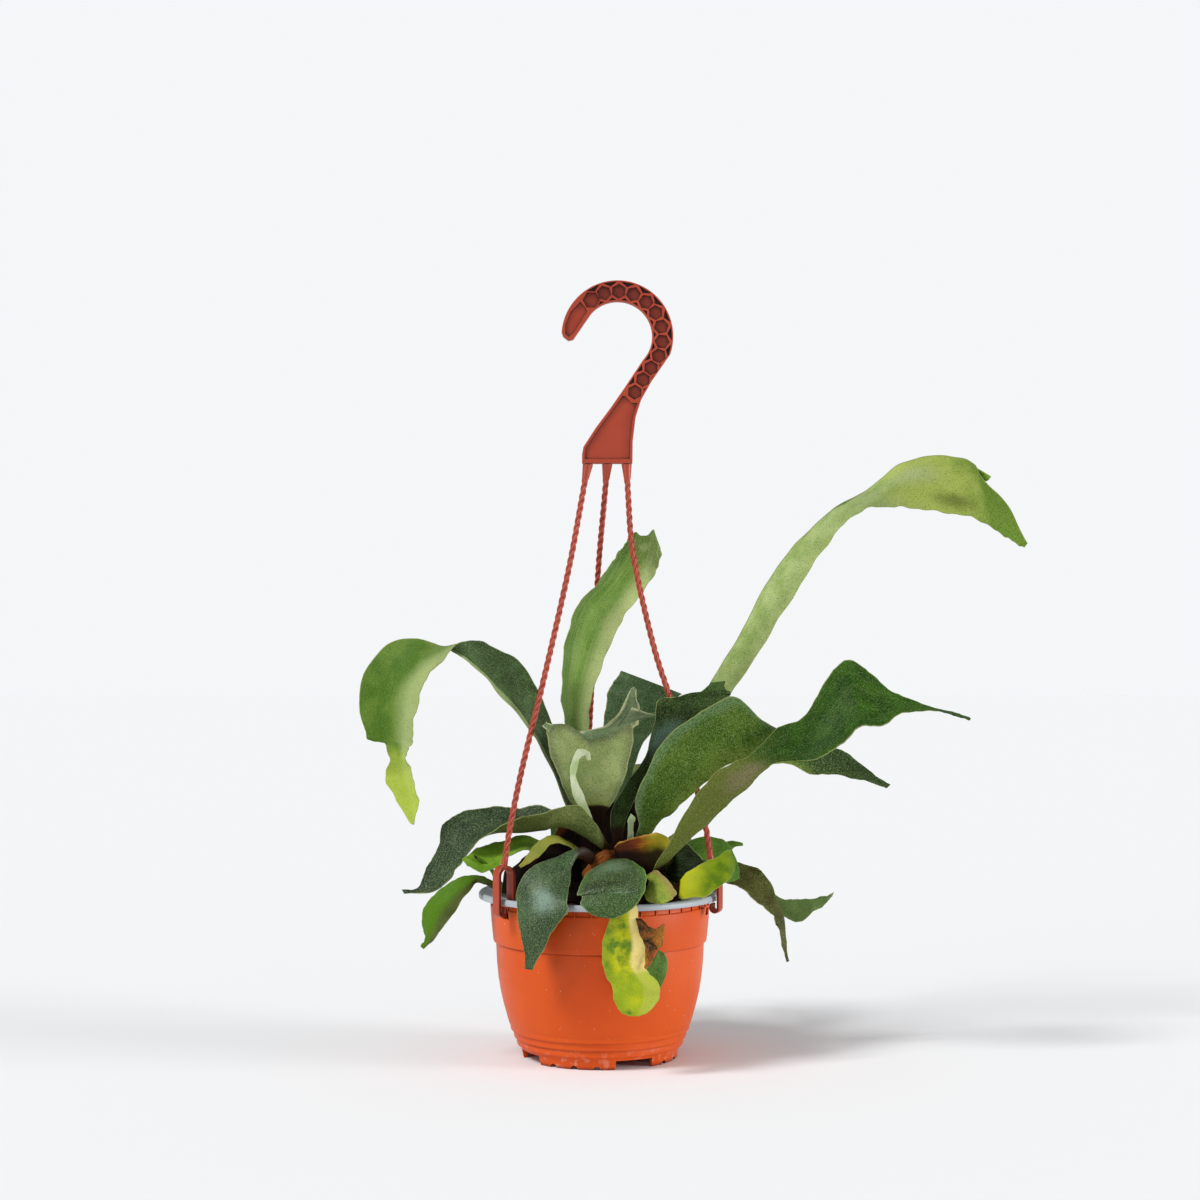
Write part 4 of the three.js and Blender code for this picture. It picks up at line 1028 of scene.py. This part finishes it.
FRONDS = {
    "frond_arch_left": {"waves": 3, "rows": [
        (607, 858, 4, 601, 862, 0), (588, 828, 4, 580, 832, 0), (573, 798, 2, 564, 801, -3, -1),
        (560, 745, -4, 547, 757, -15, -2), (545, 706, -10, 528, 728, -23, -3),
        (521, 664, -12, 503, 698, -26, -4), (490, 644, -14, 480, 674, -30, -4),
        (465, 641, -22, 457, 654, -24, -2), (448, 655, -34, 435, 644, -10), (430, 672, -38, 400, 641, -6, 3),
        (419, 694, -36, 371, 661, -8, 4), (414, 718, -31, 359, 700, -12, 4),
        (413, 738, -27, 364, 732, -15, 3), (411, 746, -26, 371, 741, -16, 2),
        (408, 750, -26, 384, 743, -18, 1), (406, 757, -25, 390, 757, -19, 1),
        (410, 770, -24, 386, 772, -18, 2), (415, 786, -24, 388, 786, -19, 1),
        (418, 803, -23, 398, 803, -20, 1), (414, 825, -22, 411, 824, -22),
    ]},
    "frond_upright_back": {"waves": 2, "rows": [
        (600, 852, 6, 610, 852, 10), (574, 770, 10, 590, 770, 16, 2), (565, 722, 8, 588, 728, 15, 3),
        (562, 688, 6, 593, 692, 14, 4), (565, 645, 5, 609, 650, 13, 5), (576, 608, 4, 624, 617, 11, 5),
        (600, 580, 4, 641, 594, 9, 4), (614, 559, 3, 656, 571, 8, 3), (624, 545, 2, 661, 553, 7, 2),
        (633, 529, 2, 659, 528, 6, 1),
    ], "reach": ((0, 0.94), (0.15, 0.985), (0.35, 0.96), (0.6, 0.963), (0.8, 1), (0.9, 0.955), (1, 0.91))},
    "frond_tall_right": {"waves": 2, "rows": [
        (618, 852, 14, 630, 854, 18), (655, 780, 20, 672, 785, 26, 1), (690, 718, 22, 708, 730, 30, 2),
        (712, 681, 22, 731, 694, 32, 3), (740, 636, 20, 770, 633, 34, 4), (770, 579, 18, 805, 578, 36, 4),
        (800, 539, 16, 835, 536, 38, 4), (832, 509, 14, 862, 512, 40, 4), (865, 490, 12, 890, 507, 40, 4),
        (900, 464, 10, 915, 508, 40, 5), (937, 456, 10, 945, 512, 38, 5), (970, 462, 10, 975, 518, 36, 4),
        (984, 481, 13, 998, 532, 32, 2), (1007, 504, 18, 1012, 541, 28, 1), (1027, 544, 24, 1024, 548, 25),
    ]},
    "frond_forked_right": {"waves": 2, "rows": [
        (655, 878, -10, 664, 876, -8), (654, 868, -46, 668, 862, -43), (672, 837, -48, 692, 838, -42, -2),
        (693, 800, -48, 716, 815, -40, -3), (712, 777, -49, 736, 797, -42, -3),
        (735, 762, -49, 760, 775, -43, -2), (752, 754, -48, 778, 762, -46),
        (775, 730, -42, 800, 761, -50, 2), (803, 718, -36, 822, 756, -54, 4),
        (826, 682, -30, 842, 744, -56, 5), (847, 659, -28, 860, 728, -56, 5),
        (872, 674, -30, 882, 726, -52, 4), (895, 692, -34, 902, 714, -46, 2),
        (930, 706.5, -38, 930, 710.5, -41), (952, 712, -39, 951, 714.5, -40),
        (971, 718.5, -40, 970, 720, -40),
    ]},
    "frond_broad_right": {"waves": 2, "rows": [
        (626, 858, -12, 640, 858, -8), (638, 828, -30, 656, 826, -22), (636, 800, -37, 674, 811, -31, 1),
        (650, 765, -42, 700, 787, -35, 2), (672, 732, -44, 722, 769, -37, 3),
        (702, 712, -44, 742, 760, -37, 4), (733, 696, -42, 765, 764, -34, 4),
        (762, 720, -32, 788, 764, -26, 3), (800, 738, -22, 812, 774, -20, 2),
        (838, 748, -17, 838, 775, -17, 1), (862, 765, -16, 864, 781, -16), (890, 785, -16, 887, 788, -16),
    ]},
    "frond_dark_right": {"waves": 2, "rows": [
        (612, 854, -6, 622, 854, -2), (611, 815, -15, 627, 815, -11, 1), (625, 787, -18, 645, 782, -15, 1),
        (645, 757, -21, 672, 752, -22, 2), (653, 728, -25, 696, 730, -29, 2),
        (656, 706, -26, 716, 710, -30, 2), (662, 698.5, -25, 724, 703, -29, 2),
        (675, 697, -25, 730, 697, -28, 2), (690, 693, -25, 730, 692, -27, 1),
        (700, 692, -25, 726, 689, -27, 1), (711, 682.5, -25, 725, 681, -26),
    ]},
    "frond_trough": {"waves": 1, "rows": [
        (597, 858, -8, 605, 858, -6), (588, 822, -17, 603, 822, -16, 1), (572, 803, -26, 613, 801, -26, 3),
        (561, 783, -34, 622, 783, -33, 7), (552, 758, -37, 630, 760, -35, 9),
        (547, 736, -36, 633, 736, -34, 8), (545, 721, -33, 632, 720, -32, 6),
    ], "reach": ((0, 0.96), (0.22, 0.985), (0.34, 0.93), (0.5, 0.8), (0.7, 0.83), (0.87, 0.92), (1, 0.97))},
    "frond_behind_trough": {"waves": 1, "rows": [
        (612, 852, 4, 622, 852, 8), (606, 790, 4, 628, 790, 10, 1), (604, 740, 4, 640, 750, 12, 2),
        (606, 705, 4, 658, 722, 14, 3), (612, 684, 5, 672, 704, 14, 3), (622, 671, 6, 682, 694, 13, 1),
    ]},
    "crozier_pale": {"across": 2, "rows": [
        (606, 864, -15, 613, 864, -14), (590, 832, -29, 598, 830, -28), (578, 806, -38, 586, 802, -37),
        (570, 782, -47, 578, 781, -45), (571, 762, -48, 578, 765, -46), (578, 750, -47, 581, 757, -46),
        (589, 751, -45, 586, 757, -45), (591, 760, -44, 588, 760, -44),
    ]},
    "crozier_short": {"across": 2, "rows": [
        (626, 862, -16, 632, 862, -14), (628, 840, -29, 633.5, 840, -28), (627, 824, -33, 633.5, 825, -32),
        (631, 814, -36, 635.5, 818, -36),
    ]},
    "frond_low_left": {"waves": 2, "rows": [
        (611, 853, -24, 609, 846, -28), (598, 846, -34, 594, 821, -44, -3),
        (576, 830, -30, 576, 805, -46, -8), (545, 808, -10, 547, 810, -41, -14),
        (520, 808, -2, 520, 819, -37, -13), (490, 807, -2, 500, 828, -34, -10),
        (462, 810, -4, 480, 841, -32, -7), (443, 826, -8, 464, 858, -30, -5),
        (438, 848, -10, 456, 868, -28, -3), (429, 866, -12, 449, 880, -26, -2),
        (416, 888, -14, 430, 893, -24), (402, 890, -16, 404, 893, -18),
    ]},
    "frond_lower_left": {"waves": 1, "rows": [
        (590, 876, -12, 590, 882, -14), (548, 888, -18, 548, 894, -20), (506, 887, -22, 505, 893, -24),
        (490, 880, -23, 487, 886, -25), (478, 875, -24, 476, 882, -27), (458, 880, -26, 468, 892, -34, 1),
        (440, 890, -26, 458, 906, -36, 2), (426, 906, -26, 449, 919, -36, 2),
        (422, 926, -26, 440, 933, -34, 1), (425, 938, -28, 431, 942, -30), (421, 947, -28, 424, 949, -28),
    ]},
    "leaf_bright_left": {"waves": 1, "rows": [
        (592, 868, -10, 592, 876, -16), (562, 852, -12, 562, 862, -24, -1),
        (530, 836, -12, 531, 849, -28, -2), (510, 840, -14, 514, 852, -32, -2),
        (495, 844, -17, 503, 861, -36, -2), (480, 848, -22, 492, 869, -40, -2),
        (470, 853, -31, 480, 873, -42, -1), (462, 859, -37, 467, 865, -39),
    ]},
    "leaf_pale_strip": {"across": 2, "rows": [
        (594, 862, -16, 596, 868, -18), (577, 846, -27, 580, 855, -30), (556, 834, -35, 562, 845, -40),
        (540, 840, -42, 547, 848, -47), (529, 851, -45, 536, 860, -49), (519, 866, -47, 521, 868, -48),
    ]},
    "frond_front_left": {"waves": 2, "rows": [
        (606, 866, -22, 600, 872, -23), (584, 847, -46, 579, 858, -50, 1), (556, 858, -56, 572, 868, -62, 2),
        (532, 868, -62, 569, 884, -74, 3), (519, 884, -68, 568, 900, -84, 3),
        (516, 900, -72, 568, 910, -89, 2), (518, 918, -75, 560, 921, -89, 2),
        (522, 938, -76, 549, 937, -87, 1), (525, 955, -76, 541, 954, -84), (525, 969, -76, 533, 970, -80),
    ]},
    "leaf_round_front": {"rows": [
        (612, 872, -24, 619, 872, -24), (609, 862, -40, 622, 861, -40), (602, 862, -50, 630, 861, -50, 1),
        (590, 870, -63, 641, 869, -63, 2), (582, 881, -76, 646, 879, -76, 3),
        (577, 892.5, -87, 646, 887, -84, 2.2), (581.5, 896.5, -87.5, 644, 894, -88, 1.4),
        (582, 905, -92, 636, 905, -92, 1), (592, 914.5, -95, 626, 913, -95), (604, 918, -96, 616, 918, -96),
    ]},
    "frond_front_droop": {"waves": 2, "rows": [
        (608, 880, -22, 617, 880, -22), (606, 890, -50, 624, 890, -50), (606, 899, -76, 630, 898, -76),
        (608, 906, -87, 637, 906, -87), (608, 922, -88, 640, 922, -86, 1), (603, 945, -88, 647, 943, -85, 2),
        (602, 961, -87, 645, 961, -84, 2), (605, 973, -87, 648, 972, -83, 2),
        (611, 984, -86, 660, 986, -83, 2), (613, 998, -86, 659, 999, -83, 1),
        (620, 1011, -85, 649, 1011, -84, 1), (628, 1016, -85, 640, 1016, -84),
    ]},
    "leaf_small_front": {"rows": [
        (640, 876, -22, 646, 876, -22), (648, 880, -50, 656, 872, -50), (645, 890, -64, 666, 878, -62, 1),
        (646, 898, -74, 674, 889, -71, 1), (655, 903, -79, 676, 895, -77), (663, 904, -80, 672, 899, -80),
    ]},
    "leaf_yellow_right": {"waves": 1, "rows": [
        (655, 882, -16, 655, 890, -16), (676, 883, -44, 675, 893, -50), (686, 874, -54, 684, 900, -66, 1),
        (705, 861, -54, 704, 897, -68, 2), (718, 856, -52, 716, 889, -64, 2),
        (730, 850, -48, 729, 880, -58, 1), (735, 859, -45, 735, 872, -48),
    ]},
    "frond_right_droop": {"waves": 1, "rows": [
        (650, 868, 0, 650, 876, -4), (690, 864, 6, 690, 878, 0), (718, 860, 6, 715, 882, -2, 1),
        (740, 863, 4, 735, 886, -8, 2), (758, 868, 2, 752, 898, -12, 2), (770, 880, 0, 764, 909, -14, 2),
        (778, 900, -4, 773, 916, -16, 1), (785, 922, -8, 778, 926, -16), (786, 945, -12, 782, 944, -15),
        (789, 961, -13, 787, 962, -14),
    ]},
    "leaf_right_beyond": {"waves": 1, "rows": [
        (650, 864, 12, 650, 870, 14), (700, 864, 16, 698, 874, 18), (735, 872, 18, 733, 884, 18),
        (765, 888, 18, 762, 902, 18, 1), (785, 899, 16, 784, 917, 14, 1), (800, 899, 16, 799, 922, 12, 1),
        (815, 898, 16, 812, 913, 13), (826, 896, 16, 824, 905, 14), (834, 892, 16, 832, 896, 16),
    ]},
    "leaf_right_back": {"waves": 1, "rows": [
        (650, 860, -2, 652, 866, -6), (680, 846, -6, 684, 858, -12), (702, 837, -8, 704, 860, -16, 1),
        (722, 838, -8, 716, 864, -19, 2), (733, 850, -10, 722, 874, -20, 2),
        (738, 866, -11, 727, 882, -19, 1), (740, 878, -12, 733, 882, -16),
    ]},
    "leaf_dark_front_right": {"rows": [
        (655, 866, -16, 656, 874, -16), (672, 852, -25, 673, 882, -29), (684, 843, -31, 686, 885, -38, 1),
        (696, 853, -33, 693, 869, -39, 1), (704, 860, -35, 702, 863, -36),
    ]},
    "frond_back_left": {"waves": 2, "rows": [
        (596, 862, 10, 602, 856, 14), (574, 831, 24, 588, 824, 34, 1), (558, 817, 46, 580, 811, 60, 2),
        (552, 822, 72, 575, 815, 92, 3), (551, 843, 92, 573, 836, 116, 3), (553, 868, 102, 570, 865, 124, 2),
        (558, 888, 110, 566, 888, 120),
    ]},
    "frond_back_middle": {"waves": 2, "rows": [
        (613, 862, 20, 623, 862, 20), (606, 800, 36, 628, 800, 38, 1), (600, 766, 62, 640, 766, 64, 2),
        (598, 768, 92, 650, 768, 94, 3), (602, 796, 118, 652, 796, 118, 3),
        (612, 836, 132, 644, 838, 130, 1), (624, 862, 134, 630, 862, 134),
    ]},
    "frond_back_right": {"waves": 2, "rows": [
        (640, 862, 14, 646, 866, 10), (660, 843, 34, 672, 851, 26, 1), (674, 833, 58, 692, 843, 46, 2),
        (686, 835, 84, 706, 847, 66, 2), (692, 847, 104, 716, 857, 86, 2), (694, 868, 114, 716, 873, 102, 1),
        (696, 886, 116, 704, 888, 112),
    ]},
}

# The dead shield fronds on the crown, in rows as above. The back and far-left ones are near-black sheets of
# painted shade, set where the crown lies in deep shade.
SHIELDS = {
    "right": {"waves": 2, "rows": [
        (668, 860, -10, 668, 872, -12), (671, 846, -26, 672, 864, -30, 1), (657, 833, -34, 658, 868, -39, 2),
        (640, 836, -36, 642, 868, -40, 2), (622, 842, -34, 624, 864, -38, 1), (614, 847, -31, 616, 857, -33),
    ]},
    "left": {"waves": 1, "rows": [
        (618, 852, -18, 618, 864, -20), (606, 849, -33, 606, 866, -37, 1), (594, 859, -34, 595, 873, -38, 1),
        (582, 872, -32, 583, 878, -33),
    ]},
    "back": {"waves": 1, "rows": [
        (562, 874, -6, 634, 858, -1), (552, 852, -6.5, 639, 838, -1, 1), (556, 832, -7, 642, 818, -2, 1),
        (569, 808, -7, 640, 806, -2), (571, 803, -7, 632, 802, -2),
    ]},
    "far_left": {"waves": 1, "rows": [
        (590, 866, -12, 590, 880, -14), (566, 850, -28, 568, 884, -32, 1), (550, 843, -34, 550, 890, -38, 2),
        (537, 846, -37, 534, 893, -41, 2), (526, 856, -38, 522, 894, -41, 1), (515, 865, -37, 512, 893, -38),
        (504, 872, -35, 502, 892, -35),
    ]},
}

# Lobes, tips and torn bits that belong to a frond: rows as above, and the number of the skin they show.
LOBES = {
    "frond_tall_right": [
        {"skin": 2, "rows": [
            (962, 462, 16, 966, 474, 24), (972, 465, 15, 975, 478, 23), (983, 471, 15, 983, 481, 19),
            (991, 477, 15, 989, 479.5, 16),
        ]},
    ],
    "frond_trough": [
        {"skin": 2, "rows": [
            (574, 748, -27, 627, 752, -27), (577, 734, -25, 630, 734, -25, 1),
            (588, 731, -20, 634, 727, -20, 1), (602, 729, -16, 638, 722, -16, 1),
            (612, 720, -13, 640, 716, -13, 1), (621, 709, -11, 640, 708, -12, 1),
            (627, 698, -10, 637, 700, -11), (631, 689, -9, 636, 693, -10), (634, 687, -9, 636, 689, -9),
        ]},
        {"skin": 2, "rows": [
            (612, 734, -16, 632, 707, -13), (628, 728, -15, 636, 709, -13), (640, 721, -13, 643, 712, -12),
            (655, 716, -11, 655, 714, -11),
        ]},
        {"skin": 2, "rows": [
            (549, 733, -37, 553, 725, -36), (546, 730, -38, 549, 724, -37), (543, 727, -37, 546, 723, -36),
            (545, 724, -35, 547, 722, -35),
        ]},
    ],
    "leaf_bright_left": [
        {"skin": 1, "rows": [
            (474, 855, -36, 475, 858, -36), (484, 860, -34, 483, 863.5, -34),
            (493, 869, -32, 490.5, 872, -32), (500, 880, -30, 496, 883, -30), (505, 890, -30, 501, 893, -30),
        ]},
    ],
    "leaf_right_back": [
        {"skin": 1, "rows": [
            (722, 842, -7, 726, 852, -8), (730, 840.5, -7, 732, 848, -8, 1), (736, 841.5, -7, 736, 846, -7),
            (743, 844, -7, 743, 845.5, -7),
        ]},
    ],
    "frond_front_droop": [
        {"skin": 2, "ragged": 2.5, "rows": [
            (636, 918, -87, 640, 936, -87), (642, 920, -89, 646, 945, -88, 1),
            (647, 924, -91, 652, 953, -89, 2), (654, 928, -92, 656, 950, -90, 2),
            (660, 926, -94, 662, 945, -92, 1), (665, 925, -95, 663, 938, -94),
        ]},
        {"skin": 2, "ragged": 2.5, "rows": [
            (643, 940, -88, 656, 946, -90), (645, 950, -87.5, 654, 954, -89, 1),
            (645, 960, -87, 650, 962, -88), (645, 968, -86.5, 646, 969, -87),
        ]},
        {"skin": 3, "rows": [
            (644, 972, -82, 658, 992, -82), (650, 964, -82, 664, 982, -82, 1),
            (653, 958, -82.5, 667, 971, -82, 1), (656, 953, -82.5, 667, 961, -82, 1),
            (659, 950, -82, 664, 953, -82),
        ]},
    ],
}

# The fronds' looks: base colour, mottling, then fades and spots along the blade.

PALE_EDGE = (150, 156, 96)
DARK, DARK_MOTTLE = (36, 58, 30), (56, 82, 42)
GREEN, GREEN_MOTTLE = (62, 94, 26), (86, 116, 40)
PALE, PALE_MOTTLE = (144, 166, 92), (172, 190, 122)
KHAKI, KHAKI_MOTTLE = (84, 94, 42), (108, 116, 62)
FRESH, FRESH_MOTTLE = (90, 130, 18), (66, 104, 22)
YELLOW, YELLOW_MOTTLE = (184, 186, 20), (122, 146, 14)
CREAM = (192, 202, 138)


def look(base, mottle, *fades, **options):
    """What leaf_skin needs to know about one face of a frond."""
    return {"base": base, "mottle": mottle, "fades": fades, "margin": PALE_EDGE, **options}


DARK_FACE = look(DARK, DARK_MOTTLE, hairs=0.42)
GREEN_FACE = look(GREEN, GREEN_MOTTLE)
KHAKI_FACE = look(KHAKI, KHAKI_MOTTLE, hairs=0.3)
FRESH_FACE = look(FRESH, FRESH_MOTTLE, hairs=0.12)

# Looks of each frond's top, its bottom and, for some, its lobes.
LOOKS = {
    "frond_arch_left": (
        look((50, 70, 38), (68, 92, 54), ("across", 0.86, 0.9, (140, 156, 104), 0.9),
             ("along", 0.36, 0.42, (104, 118, 78), 0.5), hairs=0.3),
        look((70, 106, 22), (92, 122, 38), ("across", 0.5, 0.12, (166, 180, 118), 0.8),
             ("along", 0.5, 0.42, (130, 146, 92), 0.5), ("along", 0.7, 0.92, (178, 196, 74), 0.9),
             hairs=0.2),
    ),
    "frond_upright_back": (
        GREEN_FACE,
        look((108, 146, 56), (128, 162, 76), ("across", 0.42, 0.1, (66, 106, 44), 0.6),
             ("across", 0.55, 0.9, CREAM, 0.75), ("along", 0.68, 0.95, (74, 98, 36), 0.8),
             ("along", 0.4, 0.15, (150, 170, 108), 0.4), hairs=0.25, vein=0.3,
             spots=(((0.55, 0.93), (0.14, 0.025), 0.5, (122, 142, 82)),)),
    ),
    "frond_tall_right": (
        GREEN_FACE,
        # On the bottom, the first spot is a painted sheen highlight and the second is painted shade under
        # the fold.
        look(PALE, PALE_MOTTLE, ("across", 0.6, 0.95, (176, 190, 120), 0.5),
             ("along", 0.56, 0.68, (190, 206, 92), 0.75), ("along", 0.74, 0.84, (98, 134, 36), 0.9),
             hairs=0.36, spots=(((0.36, 0.66), (0.17, 0.045), 0.9, (188, 202, 134)),
                                ((0.8, 0.74), (0.1, 0.04), 0.9, (128, 140, 60)))),
        look((128, 164, 56), (148, 180, 76), hairs=0.2, root=0),
    ),
    "frond_forked_right": (
        DARK_FACE,
        look((28, 62, 2), (44, 82, 8), ("along", 0.46, 0.34, (92, 98, 36), 0.85),
             ("along", 0.78, 0.95, (44, 60, 36), 0.7), hairs=0.27,
             spots=(((0.6, 0.32), (0.3, 0.05), 0.8, (112, 106, 72)),)),
    ),
    "frond_broad_right": (
        DARK_FACE,
        # On the bottom, the bluish-grey fade along edge A is a painted sheen.
        look((60, 92, 10), (78, 106, 24), ("across", 0.62, 0.96, (108, 128, 44), 0.65),
             ("across", 0.24, 0.02, (104, 134, 98), 0.5), ("along", 0.68, 0.78, (44, 64, 34), 0.85),
             hairs=0.5),
    ),
    "frond_dark_right": (
        DARK_FACE,
        # On the bottom, the blue-grey spot is a painted sheen.
        look((28, 46, 12), (42, 66, 20), ("along", 0.82, 0.95, (66, 96, 44), 0.7), hairs=0.3,
             spots=(((0.4, 0.36), (0.3, 0.06), 0.8, (90, 116, 102)),)),
    ),
    "frond_trough": (
        look((56, 74, 44), (74, 92, 58), root=0.3, hairs=0.4),
        # On the bottom, the darker fades at the top and at both edges are painted shade where the blade
        # curls.
        look((124, 140, 82), (146, 158, 100), ("along", 0.37, 0.31, (150, 160, 84), 0.85),
             ("along", 0.84, 1.0, (78, 84, 60), 0.75), ("across", 0.1, 0.0, (86, 88, 66), 0.6),
             ("across", 0.88, 0.98, (92, 98, 70), 0.6), root=0.28, hairs=0.34),
        look((92, 110, 76), (112, 128, 94), ("across", 0.16, 0.06, (176, 180, 140), 0.9),
             ("across", 0.84, 0.94, (176, 180, 140), 0.9), hairs=0.3, root=0),
    ),
    "frond_behind_trough": (DARK_FACE, look((62, 86, 52), (80, 104, 70), hairs=0.34)),
    "crozier_pale": (
        look((200, 206, 176), (168, 184, 132), hairs=0.24, margin=None, root=0.19),
        look((200, 206, 176), (160, 180, 124), hairs=0.1, margin=None, root=0.19),
    ),
    "crozier_short": (
        look((190, 200, 168), (170, 186, 140), hairs=0.1, margin=None, root=0.3),
        look((190, 200, 168), (170, 186, 140), hairs=0.1, margin=None, root=0.3),
    ),
    "frond_low_left": (
        look((38, 56, 36), (58, 76, 52), hairs=0.46),
        look((72, 84, 32), (92, 102, 48), hairs=0.34),
    ),
    "frond_lower_left": (
        look((84, 92, 46), (70, 80, 36), ("across", 0.9, 0.5, (74, 116, 4), 0.95),
             ("along", 0.5, 0.3, (74, 80, 42), 0.8), hairs=0.1),
        KHAKI_FACE,
    ),
    "leaf_bright_left": (look((122, 160, 42), (90, 130, 26), hairs=0.12), FRESH_FACE),
    "leaf_pale_strip": (
        look((140, 140, 56), (118, 124, 44), hairs=0.15),
        look((132, 140, 60), (108, 124, 44), hairs=0.15),
    ),
    "frond_front_left": (
        # On the top, the pale bluish spot is a painted highlight.
        look((40, 64, 34), (60, 86, 50), ("along", 0.58, 0.8, (30, 56, 10), 0.6),
             hairs=0.44, gloss=0.4, shine=0.3, root=0.13,
             spots=(((0.55, 0.53), (0.18, 0.07), 0.9, (114, 140, 126)),)),
        KHAKI_FACE,
    ),
    "leaf_round_front": (
        # On the top, the first spot is a painted sheen on the upper part, the second is painted shade at the
        # fold and the third is a painted highlight along the fold.
        look((44, 64, 32), (64, 86, 50), ("across", 0.86, 1.0, (60, 116, 16), 0.8),
             ("across", 0.14, 0.0, (60, 116, 16), 0.5), ("along", 0.62, 0.7, (40, 74, 16), 0.75),
             hairs=0.42, gloss=0.4, shine=0.3,
             spots=(((0.42, 0.34), (0.26, 0.06), 0.9, (92, 116, 88)),
                    ((0.42, 0.52), (0.3, 0.035), 0.9, (28, 46, 16)),
                    ((0.62, 0.64), (0.2, 0.012), 0.9, (98, 118, 88)))),
        KHAKI_FACE,
    ),
    "frond_front_droop": (
        look(YELLOW, (84, 120, 22), ("across", 0.6, 0.72, (236, 214, 132), 1.0),
             ("across", 0.34, 0.1, (100, 132, 22), 0.6), ("along", 0.58, 0.68, (150, 170, 26), 0.82),
             hairs=0.16, cloud=130,
             spots=(((0.5, 0.83), (0.16, 0.03), 0.9, (178, 186, 24)),
                    ((0.74, 0.94), (0.12, 0.02), 0.9, (176, 184, 30)),
                    ((0.3, 0.93), (0.1, 0.03), 0.9, (84, 122, 26)))),
        look(YELLOW, YELLOW_MOTTLE, hairs=0.12),
        look((132, 70, 20), (52, 24, 12), ("across", 0.24, 0.0, (44, 22, 14), 0.85),
             ("along", 0.4, 0.75, (188, 122, 40), 0.6), hairs=0.3, cloud=200, margin=(30, 14, 8), root=0),
        look((72, 106, 34), (92, 126, 56), hairs=0.3, root=0),
    ),
    "leaf_small_front": (
        look((158, 172, 62), (128, 146, 50), ("across", 0.6, 0.95, (158, 124, 84), 0.75), hairs=0.3),
        KHAKI_FACE,
    ),
    "leaf_yellow_right": (
        look(YELLOW, YELLOW_MOTTLE, hairs=0.1),
        look((112, 132, 2), (76, 104, 6), ("along", 0.7, 1.0, (74, 108, 10), 0.7),
             ("along", 0.58, 0.26, (202, 202, 28), 0.85), hairs=0.06, cloud=110, root=0.23),
    ),
    "frond_right_droop": (KHAKI_FACE, look((60, 60, 20), (78, 78, 32), hairs=0.3)),
    "leaf_right_beyond": (KHAKI_FACE, look((86, 112, 56), (106, 128, 72), hairs=0.25)),
    "leaf_right_back": (FRESH_FACE, look((60, 100, 22), (82, 120, 36), hairs=0.2)),
    # Its second look is painted nearly black: painted shade for the shadow that the leaf sits in.
    "leaf_dark_front_right": (DARK_FACE, look((12, 26, 7), (22, 38, 12), hairs=0.06)),
    "frond_back_left": (GREEN_FACE, KHAKI_FACE),
    "frond_back_middle": (DARK_FACE, KHAKI_FACE),
    "frond_back_right": (GREEN_FACE, KHAKI_FACE),
}


def add_fronds():
    for name, frond in FRONDS.items():
        skins = [leaf_skin(f"{name}_{index}", **skin) for index, skin in enumerate(LOOKS[name])]
        piece = blade_object("fern_" + name, frond)
        for index, lobe in enumerate(LOBES.get(name, [])):
            faces = (lobe["skin"], lobe["skin"])
            ragged = lobe.get("ragged", LOBE_RAGGEDNESS)
            part = blade_object(f"{name}_lobe_{index}", lobe, faces, ragged, on_crown=False)
            merge(piece, part, SMOOTH_LEAF)
        dressed(piece, skins, name)


# Floor and light

FLOOR_HALF_M = 6.0


def plain(name, colour):
    shader = Shader(name)
    shader.put(Base_Color=colour, Roughness=1.0, Specular_IOR_Level=0.0)
    return shader.material


def add_floor():
    half = FLOOR_HALF_M
    corners = [(-half, -half, 0), (half, -half, 0), (half, half, 0), (-half, half, 0)]
    mesh = bpy.data.meshes.new("floor")
    mesh.from_pydata(corners, [], [(0, 1, 2, 3)])
    mesh.materials.append(plain("floor", linear(240, 241, 242)))
    floor = bpy.data.objects.new("floor", mesh)
    bpy.context.collection.objects.link(floor)


def add_sky(seen_strength, light_strength):
    """A pale studio surround: bright where the camera sees it, calmer as a light."""
    world = bpy.data.worlds.new("studio")
    bpy.context.scene.world = world
    world.use_nodes = True
    nodes, links = world.node_tree.nodes, world.node_tree.links
    background = nodes["Background"]
    background.inputs["Color"].default_value = linear(246, 248, 250)
    path = nodes.new("ShaderNodeLightPath")
    strength = nodes.new("ShaderNodeMapRange")
    strength.inputs["To Min"].default_value = light_strength
    strength.inputs["To Max"].default_value = seen_strength
    links.new(path.outputs["Is Camera Ray"], strength.inputs["Value"])
    links.new(strength.outputs["Result"], background.inputs["Strength"])


def add_sun(name, towards, power, soft_angle):
    """A soft, even light that comes from a direction."""
    sun = bpy.data.lights.new(name, "SUN")
    sun.energy = power
    sun.angle = math.radians(soft_angle)
    holder = bpy.data.objects.new(name, sun)
    holder.rotation_euler = (-Vector(towards)).to_track_quat("-Z", "Y").to_euler()
    bpy.context.collection.objects.link(holder)


def add_light():
    add_sky(seen_strength=0.985, light_strength=0.42)
    add_sun("main_light", (-0.75, -0.5, 1.0), power=2.1, soft_angle=16)
    add_sun("left_fill", (-1.0, -0.8, 0.22), power=0.65, soft_angle=30)
    add_sun("right_fill", (1.0, -0.25, 0.16), power=2.3, soft_angle=24)
    bpy.context.scene.view_settings.view_transform = "Standard"
    bpy.context.scene.view_settings.look = "None"


add_camera()
add_floor()
add_light()
add_outer_pot()
add_liner_pot()
add_hanger()
add_soil()
add_crown()
add_fronds()
